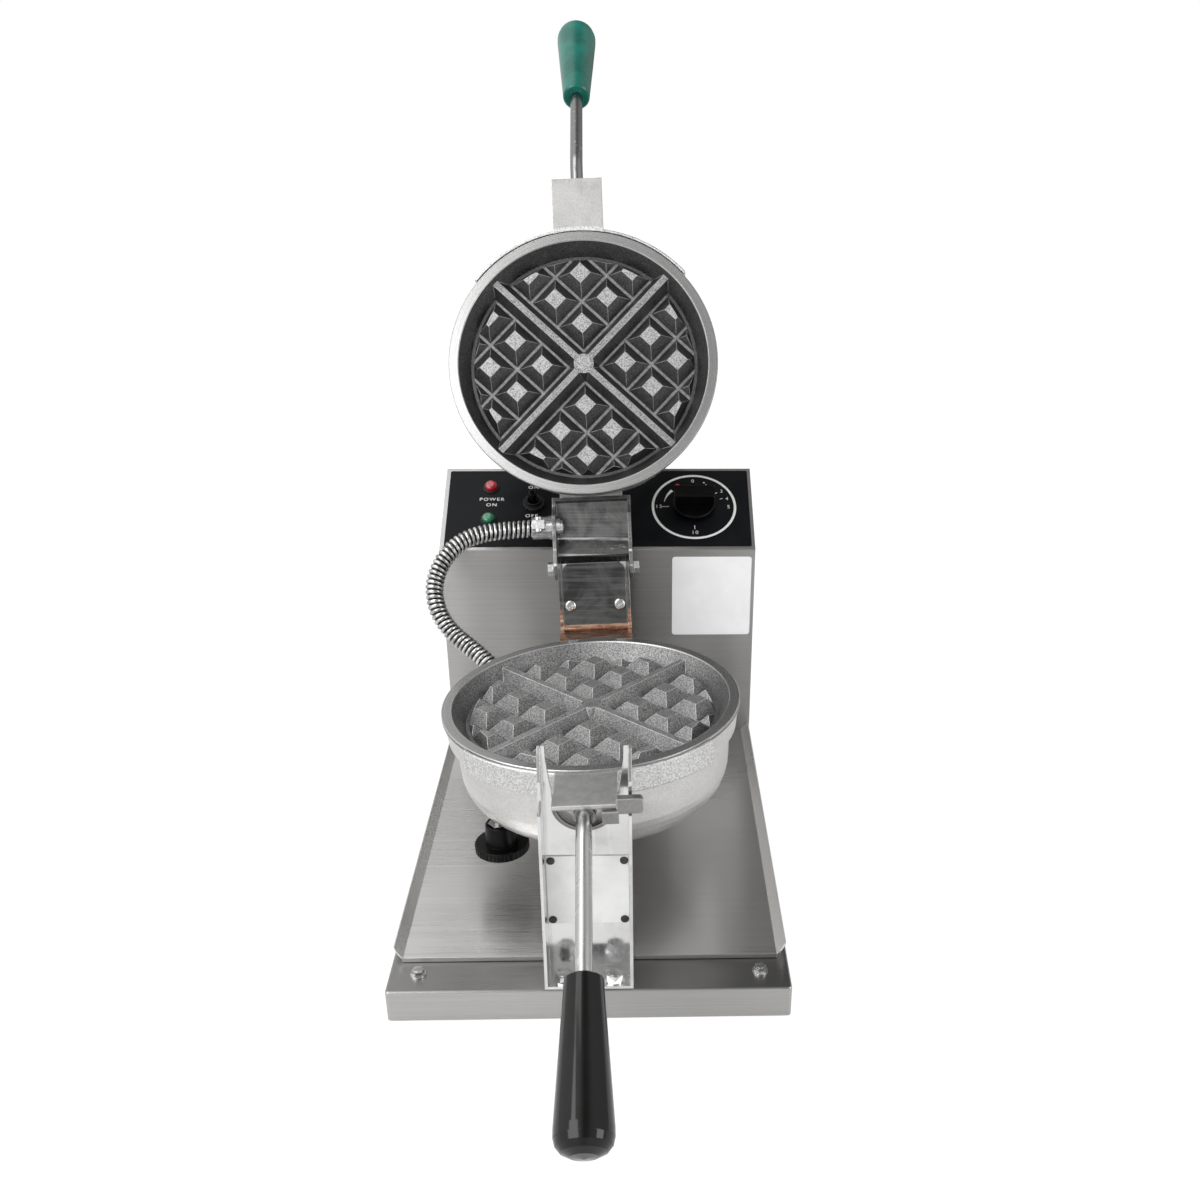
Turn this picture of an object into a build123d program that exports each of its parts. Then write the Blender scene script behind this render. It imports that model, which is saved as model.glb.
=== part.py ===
from build123d import *
import math
import os

# ---------------------------------------------------------------------------
# Round belgian waffle maker with a rotating iron, lid standing open.
# Millimetres. +X is to the right, +Y runs from the front edge to the rear, +Z up.
# Everything is drawn with y = 0 at the front edge of the base and z = 0 at the
# lower edge of its skirt, then shifted so that the origin is the middle of the
# footprint at the level of the feet.
# ---------------------------------------------------------------------------

# base and control box
BASE_W = 254.0          # width of base and control box
BASE_D = 457.0          # depth of base
BASE_H = 22.2           # height of the skirt
FOOT_H = 3.0            # rubber feet below the skirt
T_BASE = 1.5            # sheet of the base
T_BOX = 1.2             # sheet of the control box
DECK_Y = 29.6           # front edge of the drip deck
DECK_GAP = 2.4          # deck stands this far above the base
T_DECK = 1.2
RIM_OUT, RIM_UP = 6.0, 5.6      # slanted side rims of the deck
BOX_Y = 343.0           # front face of the control box
BOX_H1 = 188.6          # height where the sloped panel begins
SLOPE_Y, BOX_H2 = 419.0, 233.3  # top edge of the sloped panel
BACK_H = 214.0          # the top falls away to the rear down to this height

# iron: two halves about one long axis
AXIS_Z = 151.3          # height of the turning axis = mating plane
RING_Y = 150.8          # centre of the round plates
AXIS_X = -0.5
ROLL = 2.3              # the iron rests on its stop tab turned by this angle
OPEN = 121.0            # lid opening angle at rest
HINGE_Y, HINGE_Z = 150.0, 38.0  # hinge axis from the ring centre / mating plane
G = 0.2                 # half the gap between the closed halves

R_OUT = 101.5           # rim of the grid plates
R_IN = 94.6
RIM_T = 3.2
FLOOR = 12.5            # depth of the waffle mould
TOP = 4.7               # tops of the pyramids below the rim
R_FLOOR = 86.3          # mould wall slopes in to this radius
P_PITCH = 27.8          # pyramid pitch
P_FIRST = 22.3          # first pyramid from the centre lines
P_BASE, P_TOP = 26.2, 11.7
DIV_TOP, DIV_BASE = 4.6, 15.5   # cross-shaped divider
DIV_LEVEL = 4.5
PLATE_BACK = 18.0       # underside of the grid plate

CASE_TOP = 3.8          # casing begins below the rim, leaving a dark line
CASE_H = 70.0
NECK_R = 19.2           # half-round neck at the front
NECK_END = 142.8        # its front face from the ring centre
BAND_ANG = 50.0         # raised cast band each side of the front
BAND_R = 104.4
ROD_R = 4.8
ROD_Z = 7.8
ROD_STRAIGHT = 15.0
HANDLE_ANG = 29.1
ROD_RUN = 89.3
GRIP_L = 95.0
KNOB_X, KNOB_Y = -65.0, -42.6   # thermostat from the ring centre

ENTRY_R, ENTRY_A, ENTRY_Z = 106.0, 131.3, -19.0     # mouth of the conduit fitting
ENTRY_TURN, ENTRY_TILT = 139.5, 28.0                # direction it points

BR_W = 27.6             # half width of the front bracket
BR_T = 2.0
BR_Y0, BR_Y1 = 22.8, 25.3       # its upright back plate
NOTCH_R = 19.8

CONDUIT_R = 6.9

GLOBAL = Pos(0, -BASE_D / 2, FOOT_H)
PLACE_L = Pos(AXIS_X, RING_Y, AXIS_Z) * Rot(0, -ROLL, 0)
PLACE_U = PLACE_L * Pos(0, HINGE_Y, HINGE_Z) * Rot(-OPEN, 0, 0) * Pos(0, -HINGE_Y, -HINGE_Z)
FLIP = Rot(0, 180, 0)
ENTRY_AT = Pos(ENTRY_R * math.cos(math.radians(ENTRY_A)), ENTRY_R * math.sin(math.radians(ENTRY_A)), ENTRY_Z)
ENTRY_DIR = Rot(0, 0, ENTRY_TURN) * Rot(0, 90 - ENTRY_TILT, 0)


def box(x0, x1, y0, y1, z0, z1):
    return Pos((x0 + x1) / 2, (y0 + y1) / 2, (z0 + z1) / 2) * Box(x1 - x0, y1 - y0, z1 - z0)


def cz(r, x, y, z0, z1):
    return Pos(x, y, (z0 + z1) / 2) * Cylinder(r, z1 - z0)


def cy(r, x, z, y0, y1):
    return Pos(x, (y0 + y1) / 2, z) * Rot(-90, 0, 0) * Cylinder(r, y1 - y0)


def cx(r, y, z, x0, x1):
    return Pos((x0 + x1) / 2, y, z) * Rot(0, 90, 0) * Cylinder(r, x1 - x0)


def hexz(af, x, y, z0, z1, turn=0.0):
    s = extrude(RegularPolygon(af / 2, 6, major_radius=False, rotation=turn), z1 - z0)
    return Pos(x, y, z0) * s


def hexx(af, y, z, x0, x1):
    s = extrude(RegularPolygon(af / 2, 6, major_radius=False, rotation=30), x1 - x0)
    return Pos(x0, y, z) * Rot(0, 90, 0) * s


def hexy(af, x, z, y0, y1):
    s = extrude(RegularPolygon(af / 2, 6, major_radius=False, rotation=0), y1 - y0)
    return Pos(x, y0, z) * Rot(-90, 0, 0) * s


def yz_prism(pts, x0, x1):
    # closed outline of (y, z) points, drawn out along x
    f = make_face(Polyline(*[(0, p[0], p[1]) for p in pts], close=True))
    s = extrude(f, x1 - x0, dir=(1, 0, 0))
    return Pos(x0, 0, 0) * s


def xy_prism(pts, z0, z1):
    f = make_face(Polyline(*[(p[0], p[1], 0) for p in pts], close=True))
    return Pos(0, 0, z0) * extrude(f, z1 - z0, dir=(0, 0, 1))


def spin(pts):
    # revolve a closed (r, z) outline about z
    f = make_face(Polyline(*[(p[0], 0, p[1]) for p in pts], close=True))
    return revolve(f, Axis.Z, 360)


def one(s):
    # largest solid of a result, as a plain solid
    so = s.solids() if hasattr(s, "solids") else [s]
    return sorted(so, key=lambda q: q.volume)[-1]


NODES = {}


def put(name, shapes, place=None):
    if not isinstance(shapes, (list, tuple)):
        shapes = [shapes]
    out = []
    for s in shapes:
        for q in s.solids():
            if place is not None:
                q = place * q
            out.append(GLOBAL * q)
    NODES[name] = out


# ---------------------------------------------------------------------------
# base pan: folded sheet, open below, with an inward flange and a cross strap that carry the feet
# ---------------------------------------------------------------------------
H = BASE_H
pan = box(-BASE_W / 2, BASE_W / 2, 0, BASE_D, 0, H)
pan = fillet(pan.edges().filter_by(Axis.Z), 2.5)
pan = fillet(pan.edges().group_by(Axis.Z)[-1], 1.4)
inner = box(-BASE_W / 2 + T_BASE, BASE_W / 2 - T_BASE, T_BASE, BASE_D - T_BASE, T_BASE, H - T_BASE)
inner = fillet(inner.edges().filter_by(Axis.Z), 1.2)
pan = pan - inner - box(-BASE_W / 2 + 22, BASE_W / 2 - 22, 22, BASE_D / 2 - 14, -1, T_BASE + 1)
pan = pan - box(-BASE_W / 2 + 22, BASE_W / 2 - 22, BASE_D / 2 + 14, BASE_D - 22, -1, T_BASE + 1)
# one foot in each corner and one in the middle of the cross strap
FEET = [(sx * 114.5, y) for sx in (-1, 1) for y in (13, BASE_D - 13)] + [(0, BASE_D / 2)]
for x, y in FEET:
    pan = pan - cz(2.6, x, y, -1, T_BASE + 1)
DECK_BOLTS = [(-108.4, 17.0), (108.0, 16.6)]
BR_BOLTS = [(-15.8, 7.8), (15.8, 7.8)]
for x, y in DECK_BOLTS:
    pan = pan - cz(2.1, x, y, H - 3, H + 1)
for x, y in BR_BOLTS:
    pan = pan - cz(3.1, x, y, H - 3, H + 1)
BOX_BOLTS = [(-95, 352.5), (95, 352.5), (-95, 447.5), (95, 447.5)]
for x, y in BOX_BOLTS:
    pan = pan - cz(2.1, x, y, H - 3, H + 1)
put("base_pan", one(pan))

feet = []
for x, y in FEET:
    f = cz(8.0, x, y, -FOOT_H, 0)
    f = chamfer(f.edges().group_by(Axis.Z)[0], 0.8)
    f = f + cz(2.55, x, y, -0.5, T_BASE + 0.2) + cz(4.2, x, y, T_BASE, T_BASE + 2.2)
    feet.append(one(f))
put("rubber_feet", feet)

# drip deck: sheet with slanted side rims and rounded front corners,
# standing on pads pressed into it
z0 = H + DECK_GAP
z1 = z0 + T_DECK
hw = 126.2 - RIM_OUT
prof = [(-hw - RIM_OUT, z1 + RIM_UP), (-hw - RIM_OUT + 0.9, z1 + RIM_UP + 0.7), (-hw + 0.4, z1), (hw - 0.4, z1),
        (hw + RIM_OUT - 0.9, z1 + RIM_UP + 0.7), (hw + RIM_OUT, z1 + RIM_UP), (hw, z0), (-hw, z0)]
f = make_face(Polyline(*[(p[0], 0, p[1]) for p in prof], close=True))
deck = Pos(0, DECK_Y, 0) * extrude(f, BOX_Y - 0.4 - DECK_Y, dir=(0, 1, 0))
lim = box(-126.2, 126.2, DECK_Y, BOX_Y + 1, 0, 60)
lim = fillet([e for e in lim.edges().filter_by(Axis.Z) if e.center().Y < DECK_Y + 1], 5.5)
lip = box(-hw, hw, DECK_Y, DECK_Y + T_DECK, H + 0.5, z0 + 0.3)
lip = lip + box(-hw + 1.0, -hw + 12, DECK_Y + 1.0, DECK_Y + 6, z0 + 0.1, z0 + 0.4) + box(hw - 12, hw - 1.0, DECK_Y + 1.0, DECK_Y + 6, z0 + 0.1, z0 + 0.4)
deck = (deck + lip) & lim
for x, y in [(-100, 55), (100, 55), (-100, 325), (100, 325), (0, 190)]:
    deck = deck + cz(9, x, y, H, z0 + 0.3)
put("drip_deck", one(deck))

bolts = []
for x, y in DECK_BOLTS:
    b = cz(5.0, x, y, H, H + 1.1) + hexz(7.0, x, y, H + 1.0, H + 4.2, 12) + cz(2.0, x, y, H - 9, H + 0.2)
    b = b + cz(2.6, x, y, H + 4.1, H + 4.4)
    bolts.append(one(b))
put("deck_bolts", bolts)

# ---------------------------------------------------------------------------
# front bracket: polished channel with a half-round notch for the necks
# ---------------------------------------------------------------------------
roll = math.radians(ROLL)
SHOULDER = AXIS_Z - 5.0 * math.cos(roll) + 25.6 * math.sin(roll) - 0.25
back = box(-BR_W, BR_W, BR_Y0, BR_Y1, H, AXIS_Z + 32)
foot = box(-BR_W, BR_W, 0.9, BR_Y1, H, H + 2.2)
side = [(0.9, H), (2.6, 92), (2.6, SHOULDER), (12.0, SHOULDER), (12.4, AXIS_Z + 13), (18.2, AXIS_Z + 28.5),
        (19.8, AXIS_Z + 31.2), (22.2, AXIS_Z + 32.0), (24.4, AXIS_Z + 31.2), (BR_Y1, AXIS_Z + 29), (BR_Y1, H)]
br = back + foot + yz_prism(side, -BR_W, -BR_W + BR_T) + yz_prism(side, BR_W - BR_T, BR_W)
nx = AXIS_X
wedge = make_face(Polyline((nx - NOTCH_R, 0, AXIS_Z), (nx + NOTCH_R, 0, AXIS_Z), (nx + 23.0, 0, AXIS_Z + 22),
                           (nx + 24.0, 0, AXIS_Z + 50), (nx - 23.2, 0, AXIS_Z + 50), (nx - 22.6, 0, AXIS_Z + 22), close=True))
cut = Pos(0, BR_Y0 - 1, 0) * extrude(wedge, 5, dir=(0, 1, 0)) + cy(NOTCH_R, nx, AXIS_Z, BR_Y0 - 1, BR_Y1 + 1)
br = br - cut
ears = box(-40, 40, BR_Y0 - 0.5, BR_Y1 + 1, AXIS_Z + 29, AXIS_Z + 40) - yz_prism(side, -40, 40)
br = br - ears
for x, y in BR_BOLTS:
    br = br - cz(3.15, x, y, H - 1, H + 4)
RIVETS = [(sx * 22.4, z) for sx in (-1, 1) for z in (60.3, 103.8)]
for x, z in RIVETS:
    br = br - cy(1.55, x, z, BR_Y0 - 1, BR_Y1 + 1)
put("front_bracket", one(br))

bolts, nuts = [], []
for i, (x, y) in enumerate(BR_BOLTS):
    b = cz(6.2, x, y, H + 2.2, H + 3.4) + hexz(10.0, x, y, H + 3.3, H + 7.6, 8 + 24 * i) + cz(3.0, x, y, H - 11, H + 2.4)
    b = b + cz(4.0, x, y, H + 7.5, H + 7.9)
    bolts.append(one(b))
    nuts.append(one(hexz(10.0, x, y, H - T_BASE - 5.2, H - T_BASE, 20) - cz(3.02, x, y, H - 12, H)))
put("bracket_bolts", bolts + nuts)

plate = box(-25.2, 25.2, BR_Y0 - 0.8, BR_Y0, 57.2, 107.0)
for x, z in RIVETS:
    plate = plate - cy(1.55, x, z, BR_Y0 - 2, BR_Y0 + 1)
put("bracket_plate", one(plate))
rv = []
for x, z in RIVETS:
    dome = cy(2.6, x, z, BR_Y0 - 2.0, BR_Y0 - 0.8)
    dome = fillet([e for e in dome.edges() if abs(e.center().Y - (BR_Y0 - 2.0)) < 0.01], 0.9)
    rv.append(one(dome + cy(1.5, x, z, BR_Y0 - 1.0, BR_Y1 + 0.2) + cy(2.4, x, z, BR_Y1, BR_Y1 + 1.0)))
put("plate_rivets", rv)

# ---------------------------------------------------------------------------
# control box
# ---------------------------------------------------------------------------
W2 = BASE_W / 2
SL = math.atan2(BOX_H2 - BOX_H1, SLOPE_Y - BOX_Y)        # slope of the panel
PANEL_L = math.hypot(BOX_H2 - BOX_H1, SLOPE_Y - BOX_Y)
# frame on the panel: local x to the right, local y up the slope, local z out of it
PANEL = Pos(0, BOX_Y, BOX_H1) * Rot(math.degrees(SL), 0, 0)
outer = yz_prism([(BOX_Y, H), (BOX_Y, BOX_H1), (SLOPE_Y, BOX_H2), (BASE_D, BACK_H), (BASE_D, H)], -W2, W2)
edges = [e for e in outer.edges().filter_by(Axis.X) if e.center().Z > H + 5 and e.center().Y < BASE_D - 1]
outer = fillet(edges, 1.6)
t = T_BOX
SB = math.atan2(BOX_H2 - BACK_H, BASE_D - SLOPE_Y)       # fall of the top behind the ridge
# inner faces of the panel and of the rear slope meet below the ridge
a1, b1 = SLOPE_Y + t * math.sin(SL), BOX_H2 - t * math.cos(SL)
a2, b2 = SLOPE_Y - t * math.sin(SB), BOX_H2 - t * math.cos(SB)
ry = (b2 - b1 + a1 * math.tan(SL) + a2 * math.tan(SB)) / (math.tan(SL) + math.tan(SB))
rz = b1 + (ry - a1) * math.tan(SL)
inner = yz_prism([(BOX_Y + t, H + t), (BOX_Y + t, BOX_H1 - t * math.tan((math.pi / 2 - SL) / 2)),
                  (ry, rz), (BASE_D + 5, rz - (BASE_D + 5 - ry) * math.tan(SB)), (BASE_D + 5, H + t)], -W2 + t, W2 - t)
shell = outer - inner
shell = shell - box(-W2 + 16, W2 - 16, BOX_Y + 16, BASE_D - 16, H - 1, H + t + 1)
# inward flange round the open back
flange = box(-W2 + 0.4, W2 - 0.4, BASE_D - 2.4, BASE_D - 1.2, H + 0.2, BACK_H - 0.2) - box(-W2 + 12, W2 - 12, BASE_D - 5, BASE_D + 1, H + 12, BACK_H - 12)
shell = shell - box(-W2 - 1, W2 + 1, BASE_D - 1.2, BASE_D + 1, H - 1, BOX_H2 + 1)
shell = shell + flange

LAMPS = [(-89.0, 66.3), (-89.4, 31.3)]
TOG = (-53.1, 48.5)
DIAL = (78.6, 45.3)
for x, s in LAMPS:
    shell = shell - PANEL * cz(4.6, x, s, -6, 6)
shell = shell - PANEL * cz(6.1, TOG[0], TOG[1], -6, 6)
shell = shell - PANEL * cz(5.1, DIAL[0], DIAL[1], -6, 6)
shell = shell - cy(17.1, AXIS_X, AXIS_Z, BOX_Y - 2, BOX_Y + 4)
BH_SCREWS = [(AXIS_X + a, AXIS_Z + b) for a in (-24, 24) for b in (-24, 24)]
for x, z in BH_SCREWS:
    shell = shell - cy(2.1, x, z, BOX_Y - 2, BOX_Y + 4)
for x, y in BOX_BOLTS:
    shell = shell - cz(2.1, x, y, H - 1, H + 3)
COVER_SCREWS = [(sx * 119.5, z) for sx in (-1, 1) for z in (36, 118, 200)]
for x, z in COVER_SCREWS:
    shell = shell - cy(1.6, x, z, BASE_D - 4, BASE_D)
put("control_box_shell", one(shell))

bb = []
for x, y in BOX_BOLTS:
    bb.append(one(hexz(7.0, x, y, H - T_BASE - 3.2, H - T_BASE) + cz(2.0, x, y, H - T_BASE - 0.5, H + t + 0.1) + cz(4.0, x, y, H + t, H + t + 2.0)))
put("box_bolts", bb)

cover = box(-W2 + 0.6, W2 - 0.6, BASE_D - 1.2, BASE_D, H + 0.6, BACK_H - 0.6)
cover = fillet([e for e in cover.edges().filter_by(Axis.Y) if e.center().Z > 100], 2.0)
for k in range(9):
    cover = cover - box(-44 + 11 * k - 1.6, -44 + 11 * k + 1.6, BASE_D - 3, BASE_D + 1, 162, 192)
GLAND = (70.0, 58.0)
cover = cover - cy(9.6, GLAND[0], GLAND[1], BASE_D - 3, BASE_D + 1)
for x, z in COVER_SCREWS:
    cover = cover - cy(1.6, x, z, BASE_D - 3, BASE_D + 1)
put("box_back_cover", one(cover))
cs = []
for x, z in COVER_SCREWS:
    h = cy(3.4, x, z, BASE_D, BASE_D + 1.9)
    h = fillet([e for e in h.edges() if abs(e.center().Y - (BASE_D + 1.9)) < 0.01], 1.2)
    h = h - box(x - 2.2, x + 2.2, BASE_D + 1.1, BASE_D + 3, z - 0.4, z + 0.4) - box(x - 0.4, x + 0.4, BASE_D + 1.1, BASE_D + 3, z - 2.2, z + 2.2)
    cs.append(one(h + cy(1.5, x, z, BASE_D - 9, BASE_D + 0.2)))
put("back_cover_screws", cs)
gl = hexy(24, GLAND[0], GLAND[1], BASE_D, BASE_D + 4.5) + cy(9.5, GLAND[0], GLAND[1], BASE_D - 12, BASE_D + 0.5) + cy(9.0, GLAND[0], GLAND[1], BASE_D + 4.4, BASE_D + 13)
gl = gl - cy(4.2, GLAND[0], GLAND[1], BASE_D - 13, BASE_D + 14)
put("cord_gland", [one(gl), one(hexy(24, GLAND[0], GLAND[1], BASE_D - 6, BASE_D - 1.2) - cy(9.55, GLAND[0], GLAND[1], BASE_D - 8, BASE_D))])

# panel overlay with the holes for the controls
ov = box(-123.6, 124.2, 3.2, PANEL_L - 3.2, 0, 0.6)
ov = fillet(ov.edges().filter_by(Axis.Z), 1.5)
for x, s in LAMPS:
    ov = ov - cz(4.6, x, s, -1, 2)
ov = ov - cz(6.1, TOG[0], TOG[1], -1, 2) - cz(5.1, DIAL[0], DIAL[1], -1, 2)
put("panel_overlay", one(ov), PANEL)

names = ("red_lamp_lens", "green_lamp_lens")
bez, bodies = [], []
for i, (x, s) in enumerate(LAMPS):
    lens = cz(5.1, x, s, 1.6, 5.6)
    lens = fillet(lens.edges().group_by(Axis.Z)[-1], 2.6)
    lens = lens + cz(4.0, x, s, -3.0, 1.8)
    put(names[i], one(lens), PANEL)
    b = cz(6.6, x, s, 0.6, 1.9)
    b = chamfer(b.edges().group_by(Axis.Z)[-1], 0.5)
    b = b - cz(5.15, x, s, 1.55, 3) - cz(4.05, x, s, 0, 3)
    b = b + (cz(4.5, x, s, -12, 0.7) - cz(4.05, x, s, -3.05, 1))
    bez.append(one(b))
    bodies.append(one(hexz(13, x, s, -t - 2.6, -t) - cz(4.52, x, s, -6, 1)))
put("lamp_holders", bez + bodies, PANEL)

# power switch: body behind the panel, threaded collar with a ring nut, bat lever
x, s = TOG
sw = box(x - 8, x + 8, s - 14, s + 14, -25, -3.0)
sw = sw + (cz(5.9, x, s, -3.2, 6.0) - (Pos(x, s, 3.5) * Cone(3.4, 5.0, 5.2)) - cz(3.5, x, s, -2.0, 1.5)) + cz(2.2, x, s, -30, -24.5)
put("switch_body", one(sw), PANEL)
nut = cz(9.0, x, s, 0.6, 3.2)
nut = chamfer(nut.edges().group_by(Axis.Z)[-1], 0.6)
nut = nut - cz(5.92, x, s, 0, 4)
for k in range(12):
    a = k * 30
    nut = nut - Pos(x, s, 0) * Rot(0, 0, a) * box(8.5, 10, -0.7, 0.7, 0, 4)
put("switch_nut", one(nut), PANEL)
lever = Cone(2.0, 3.4, 15.5, align=(Align.CENTER, Align.CENTER, Align.MIN)) + Pos(0, 0, 15.5) * Sphere(3.4) + Sphere(2.6)
lever = lever & box(-5, 5, -5, 5, -2.6, 18.2)
TOG_PIV = 2.0
TOG_ANG = 15.0
put("power_toggle", one(lever), PANEL * Pos(x, s, TOG_PIV) * Rot(TOG_ANG, 0, 0))

# timer: clockwork body, shaft, pointer knob
x, s = DIAL
tb = box(x - 24, x + 24, s - 24, s + 24, -40, -4.0)
tb = fillet(tb.edges().filter_by(Axis.Z), 3)
tb = tb + cz(4.9, x, s, -4.5, 1.8) - cz(3.05, x, s, -14, 3)
put("timer_body", one(tb), PANEL)
kn = cz(17.2, x, s, 2.6, 6.8)
kn = fillet(kn.edges().group_by(Axis.Z)[-1], 1.2)
bar = box(x - 16.4, x + 16.4, s - 6.2, s + 6.2, 6.0, 20.5)
bar = bar & cz(16.6, x, s, 5, 21)
bar = fillet([e for e in bar.edges().group_by(Axis.Z)[-1] if e.length > 25], 1.6)
kn = kn + bar - cz(3.0, x, s, 0, 12.0)
put("timer_knob", one(kn), PANEL)
ts = cz(2.98, x, s, -13.5, 11.9)
put("timer_shaft", one(ts), PANEL)

put("blank_label", one(fillet(box(59.8, 124.2, BOX_Y - 0.4, BOX_Y, 114.2, 182.4).edges().filter_by(Axis.Y), 2.5)))

# terminal block on the floor of the box
tbk = box(-70, -10, 392, 416, H + 12, H + 24) + box(-74, -6, 398, 410, H + t, H + 12.5)
tbk = tbk - box(-80, 0, 402.5, 405.5, H - 1, H + 6)
for k in range(5):
    for yy in (397.5, 410.5):
        tbk = tbk - cz(2.4, -64 + 12 * k, yy, H + 18, H + 26)
for k in range(4):
    tbk = tbk - box(-58.8 + 12 * k, -57.2 + 12 * k, 390, 418, H + 18, H + 26)
put("terminal_block", one(tbk))

# rear bearing: housing inside the box with a flanged bush, screwed through the front wall
hs = box(AXIS_X - 31, AXIS_X + 31, BOX_Y + t, BOX_Y + t + 10, AXIS_Z - 31, AXIS_Z + 31)
hs = fillet(hs.edges().filter_by(Axis.Y), 6)
hs = hs - cy(17.05, AXIS_X, AXIS_Z, BOX_Y - 2, BOX_Y + 20)
for xx, zz in BH_SCREWS:
    hs = hs - cy(2.05, xx, zz, BOX_Y - 2, BOX_Y + 20)
put("bearing_housing", one(hs))
bush = cy(17.0, AXIS_X, AXIS_Z, BOX_Y, BOX_Y + 16) + cy(22.5, AXIS_X, AXIS_Z, BOX_Y - 2.8, BOX_Y)
bush = bush - cy(12.56, AXIS_X, AXIS_Z, BOX_Y - 5, BOX_Y + 20)
put("pivot_bush", one(bush))
hsr = []
for xx, zz in BH_SCREWS:
    h = cy(3.6, xx, zz, BOX_Y - 2.2, BOX_Y)
    h = fillet([e for e in h.edges() if abs(e.center().Y - (BOX_Y - 2.2)) < 0.01], 1.3)
    h = h - box(xx - 2.3, xx + 2.3, BOX_Y - 3, BOX_Y - 1.3, zz - 0.4, zz + 0.4) - box(xx - 0.4, xx + 0.4, BOX_Y - 3, BOX_Y - 1.3, zz - 2.3, zz + 2.3)
    hsr.append(one(h + cy(2.0, xx, zz, BOX_Y - 0.5, BOX_Y + t + 9.5)))
put("bearing_screws", hsr)

# ---------------------------------------------------------------------------
# one half of the iron, drawn as the lower one: mating plane z = 0, centre of the
# plates at the origin, handle towards -y
# ---------------------------------------------------------------------------
mould = spin([(0, 1), (R_IN + (R_IN - R_FLOOR) / FLOOR * 1.0, 1), (R_IN, 0 - G), (R_FLOOR, -FLOOR), (0, -FLOOR)])
gp = cz(R_OUT, 0, 0, -RIM_T - G, -G)
gp = chamfer(gp.edges().group_by(Axis.Z)[-1], 0.5)
gp = gp + cz(96.0, 0, 0, -PLATE_BACK, -RIM_T)
gp = gp - mould
# pyramid field, cut back from the wall
hgt = FLOOR - TOP
tap = math.degrees(math.atan2((P_BASE - P_TOP) / 2, hgt))
field = None
for a in (-2, -1, 0, 1, 2, 3):
    for b in (-2, -1, 0, 1, 2, 3):
        ax = (P_FIRST + (a - 1) * P_PITCH) if a > 0 else -(P_FIRST + (-a) * P_PITCH)
        bx = (P_FIRST + (b - 1) * P_PITCH) if b > 0 else -(P_FIRST + (-b) * P_PITCH)
        if math.hypot(ax, bx) > 94:
            continue
        p = extrude(Rectangle(P_BASE, P_BASE), hgt + 0.3, taper=tap)
        p = Pos(ax, bx, -FLOOR - 0.3) * p
        field = p if field is None else field + p
field = Rot(0, 0, 45) * field
cone = spin([(0, -FLOOR - 1), (84.4, -FLOOR - 1), (84.0, -FLOOR), (79.8, -TOP), (79.0, -TOP + 1), (0, -TOP + 1)])
field = field & cone
# dividers and the boss at the centre
hd = FLOOR - DIV_LEVEL
tr = make_face(Polyline((0, -DIV_BASE / 2, -FLOOR - 0.3), (0, DIV_BASE / 2, -FLOOR - 0.3), (0, DIV_TOP / 2, -DIV_LEVEL), (0, -DIV_TOP / 2, -DIV_LEVEL), close=True))
bar = Pos(-92, 0, 0) * extrude(tr, 184, dir=(1, 0, 0))
dv = Rot(0, 0, 45) * bar + Rot(0, 0, -45) * bar
dv = dv & cz(92.0, 0, 0, -FLOOR - 1, 0)
boss = Pos(0, 0, -FLOOR - 0.3) * Cone(11.5, 7.4, hd + 0.3, align=(Align.CENTER, Align.CENTER, Align.MIN))
gp = gp + dv + boss
gp = gp + field
GRID = one(gp)

# casing
out = spin([(0, -CASE_H), (73.5, -CASE_H), (77.8, -CASE_H + 0.9), (81.2, -CASE_H + 2.7), (84.2, -CASE_H + 5.3), (87.0, -CASE_H + 8.6), (89.3, -CASE_H + 12.4),
            (91.2, -CASE_H + 17.0), (92.4, -CASE_H + 22.0), (93.0, -41.0), (93.6, -29.0), (94.2, -22.6), (98.6, -18.6), (100.6, -CASE_TOP - 0.3), (100.4, -CASE_TOP), (0, -CASE_TOP)])
hol = spin([(0, -CASE_H + 3.5), (72.8, -CASE_H + 3.5), (78.6, -CASE_H + 6.2), (83.8, -CASE_H + 11.6), (87.0, -CASE_H + 18.0), (88.6, -CASE_H + 24.0), (89.6, -32), (89.8, -PLATE_BACK),
            (96.2, -PLATE_BACK), (96.2, -CASE_TOP + 2), (0, -CASE_TOP + 2)])
case = out
# neck
neck = cy(NECK_R, 0, 0, -NECK_END, -70) & box(-30, 30, -200, 0, -40, -G)
slope = yz_prism([(-NECK_END - 1, -30), (-NECK_END - 1, 1), (-NECK_END, 1), (-NECK_END, -3), (-NECK_END + 2.6, -NECK_R), (-NECK_END + 5, -30)], -30, 30)
neck = neck - slope
neck = neck - cz(R_OUT + 0.35, 0, 0, -CASE_TOP, 2)
band = spin([(92.5, -17.6), (BAND_R - 0.6, -17.6), (BAND_R, -17.0), (BAND_R, -1.4), (BAND_R - 0.6, -0.8), (R_OUT + 0.9, -0.8), (R_OUT + 0.9, -CASE_TOP), (92.5, -CASE_TOP)])
sect = xy_prism([(0, 0), (-200 * math.sin(math.radians(BAND_ANG)), -200 * math.cos(math.radians(BAND_ANG))), (0, -260),
                 (200 * math.sin(math.radians(BAND_ANG)), -200 * math.cos(math.radians(BAND_ANG)))], -40, 10)
band = band & sect
pad = box(-24, 24, 80, 95, -57, -34.2)
case = case + neck + band + pad - hol
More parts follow.
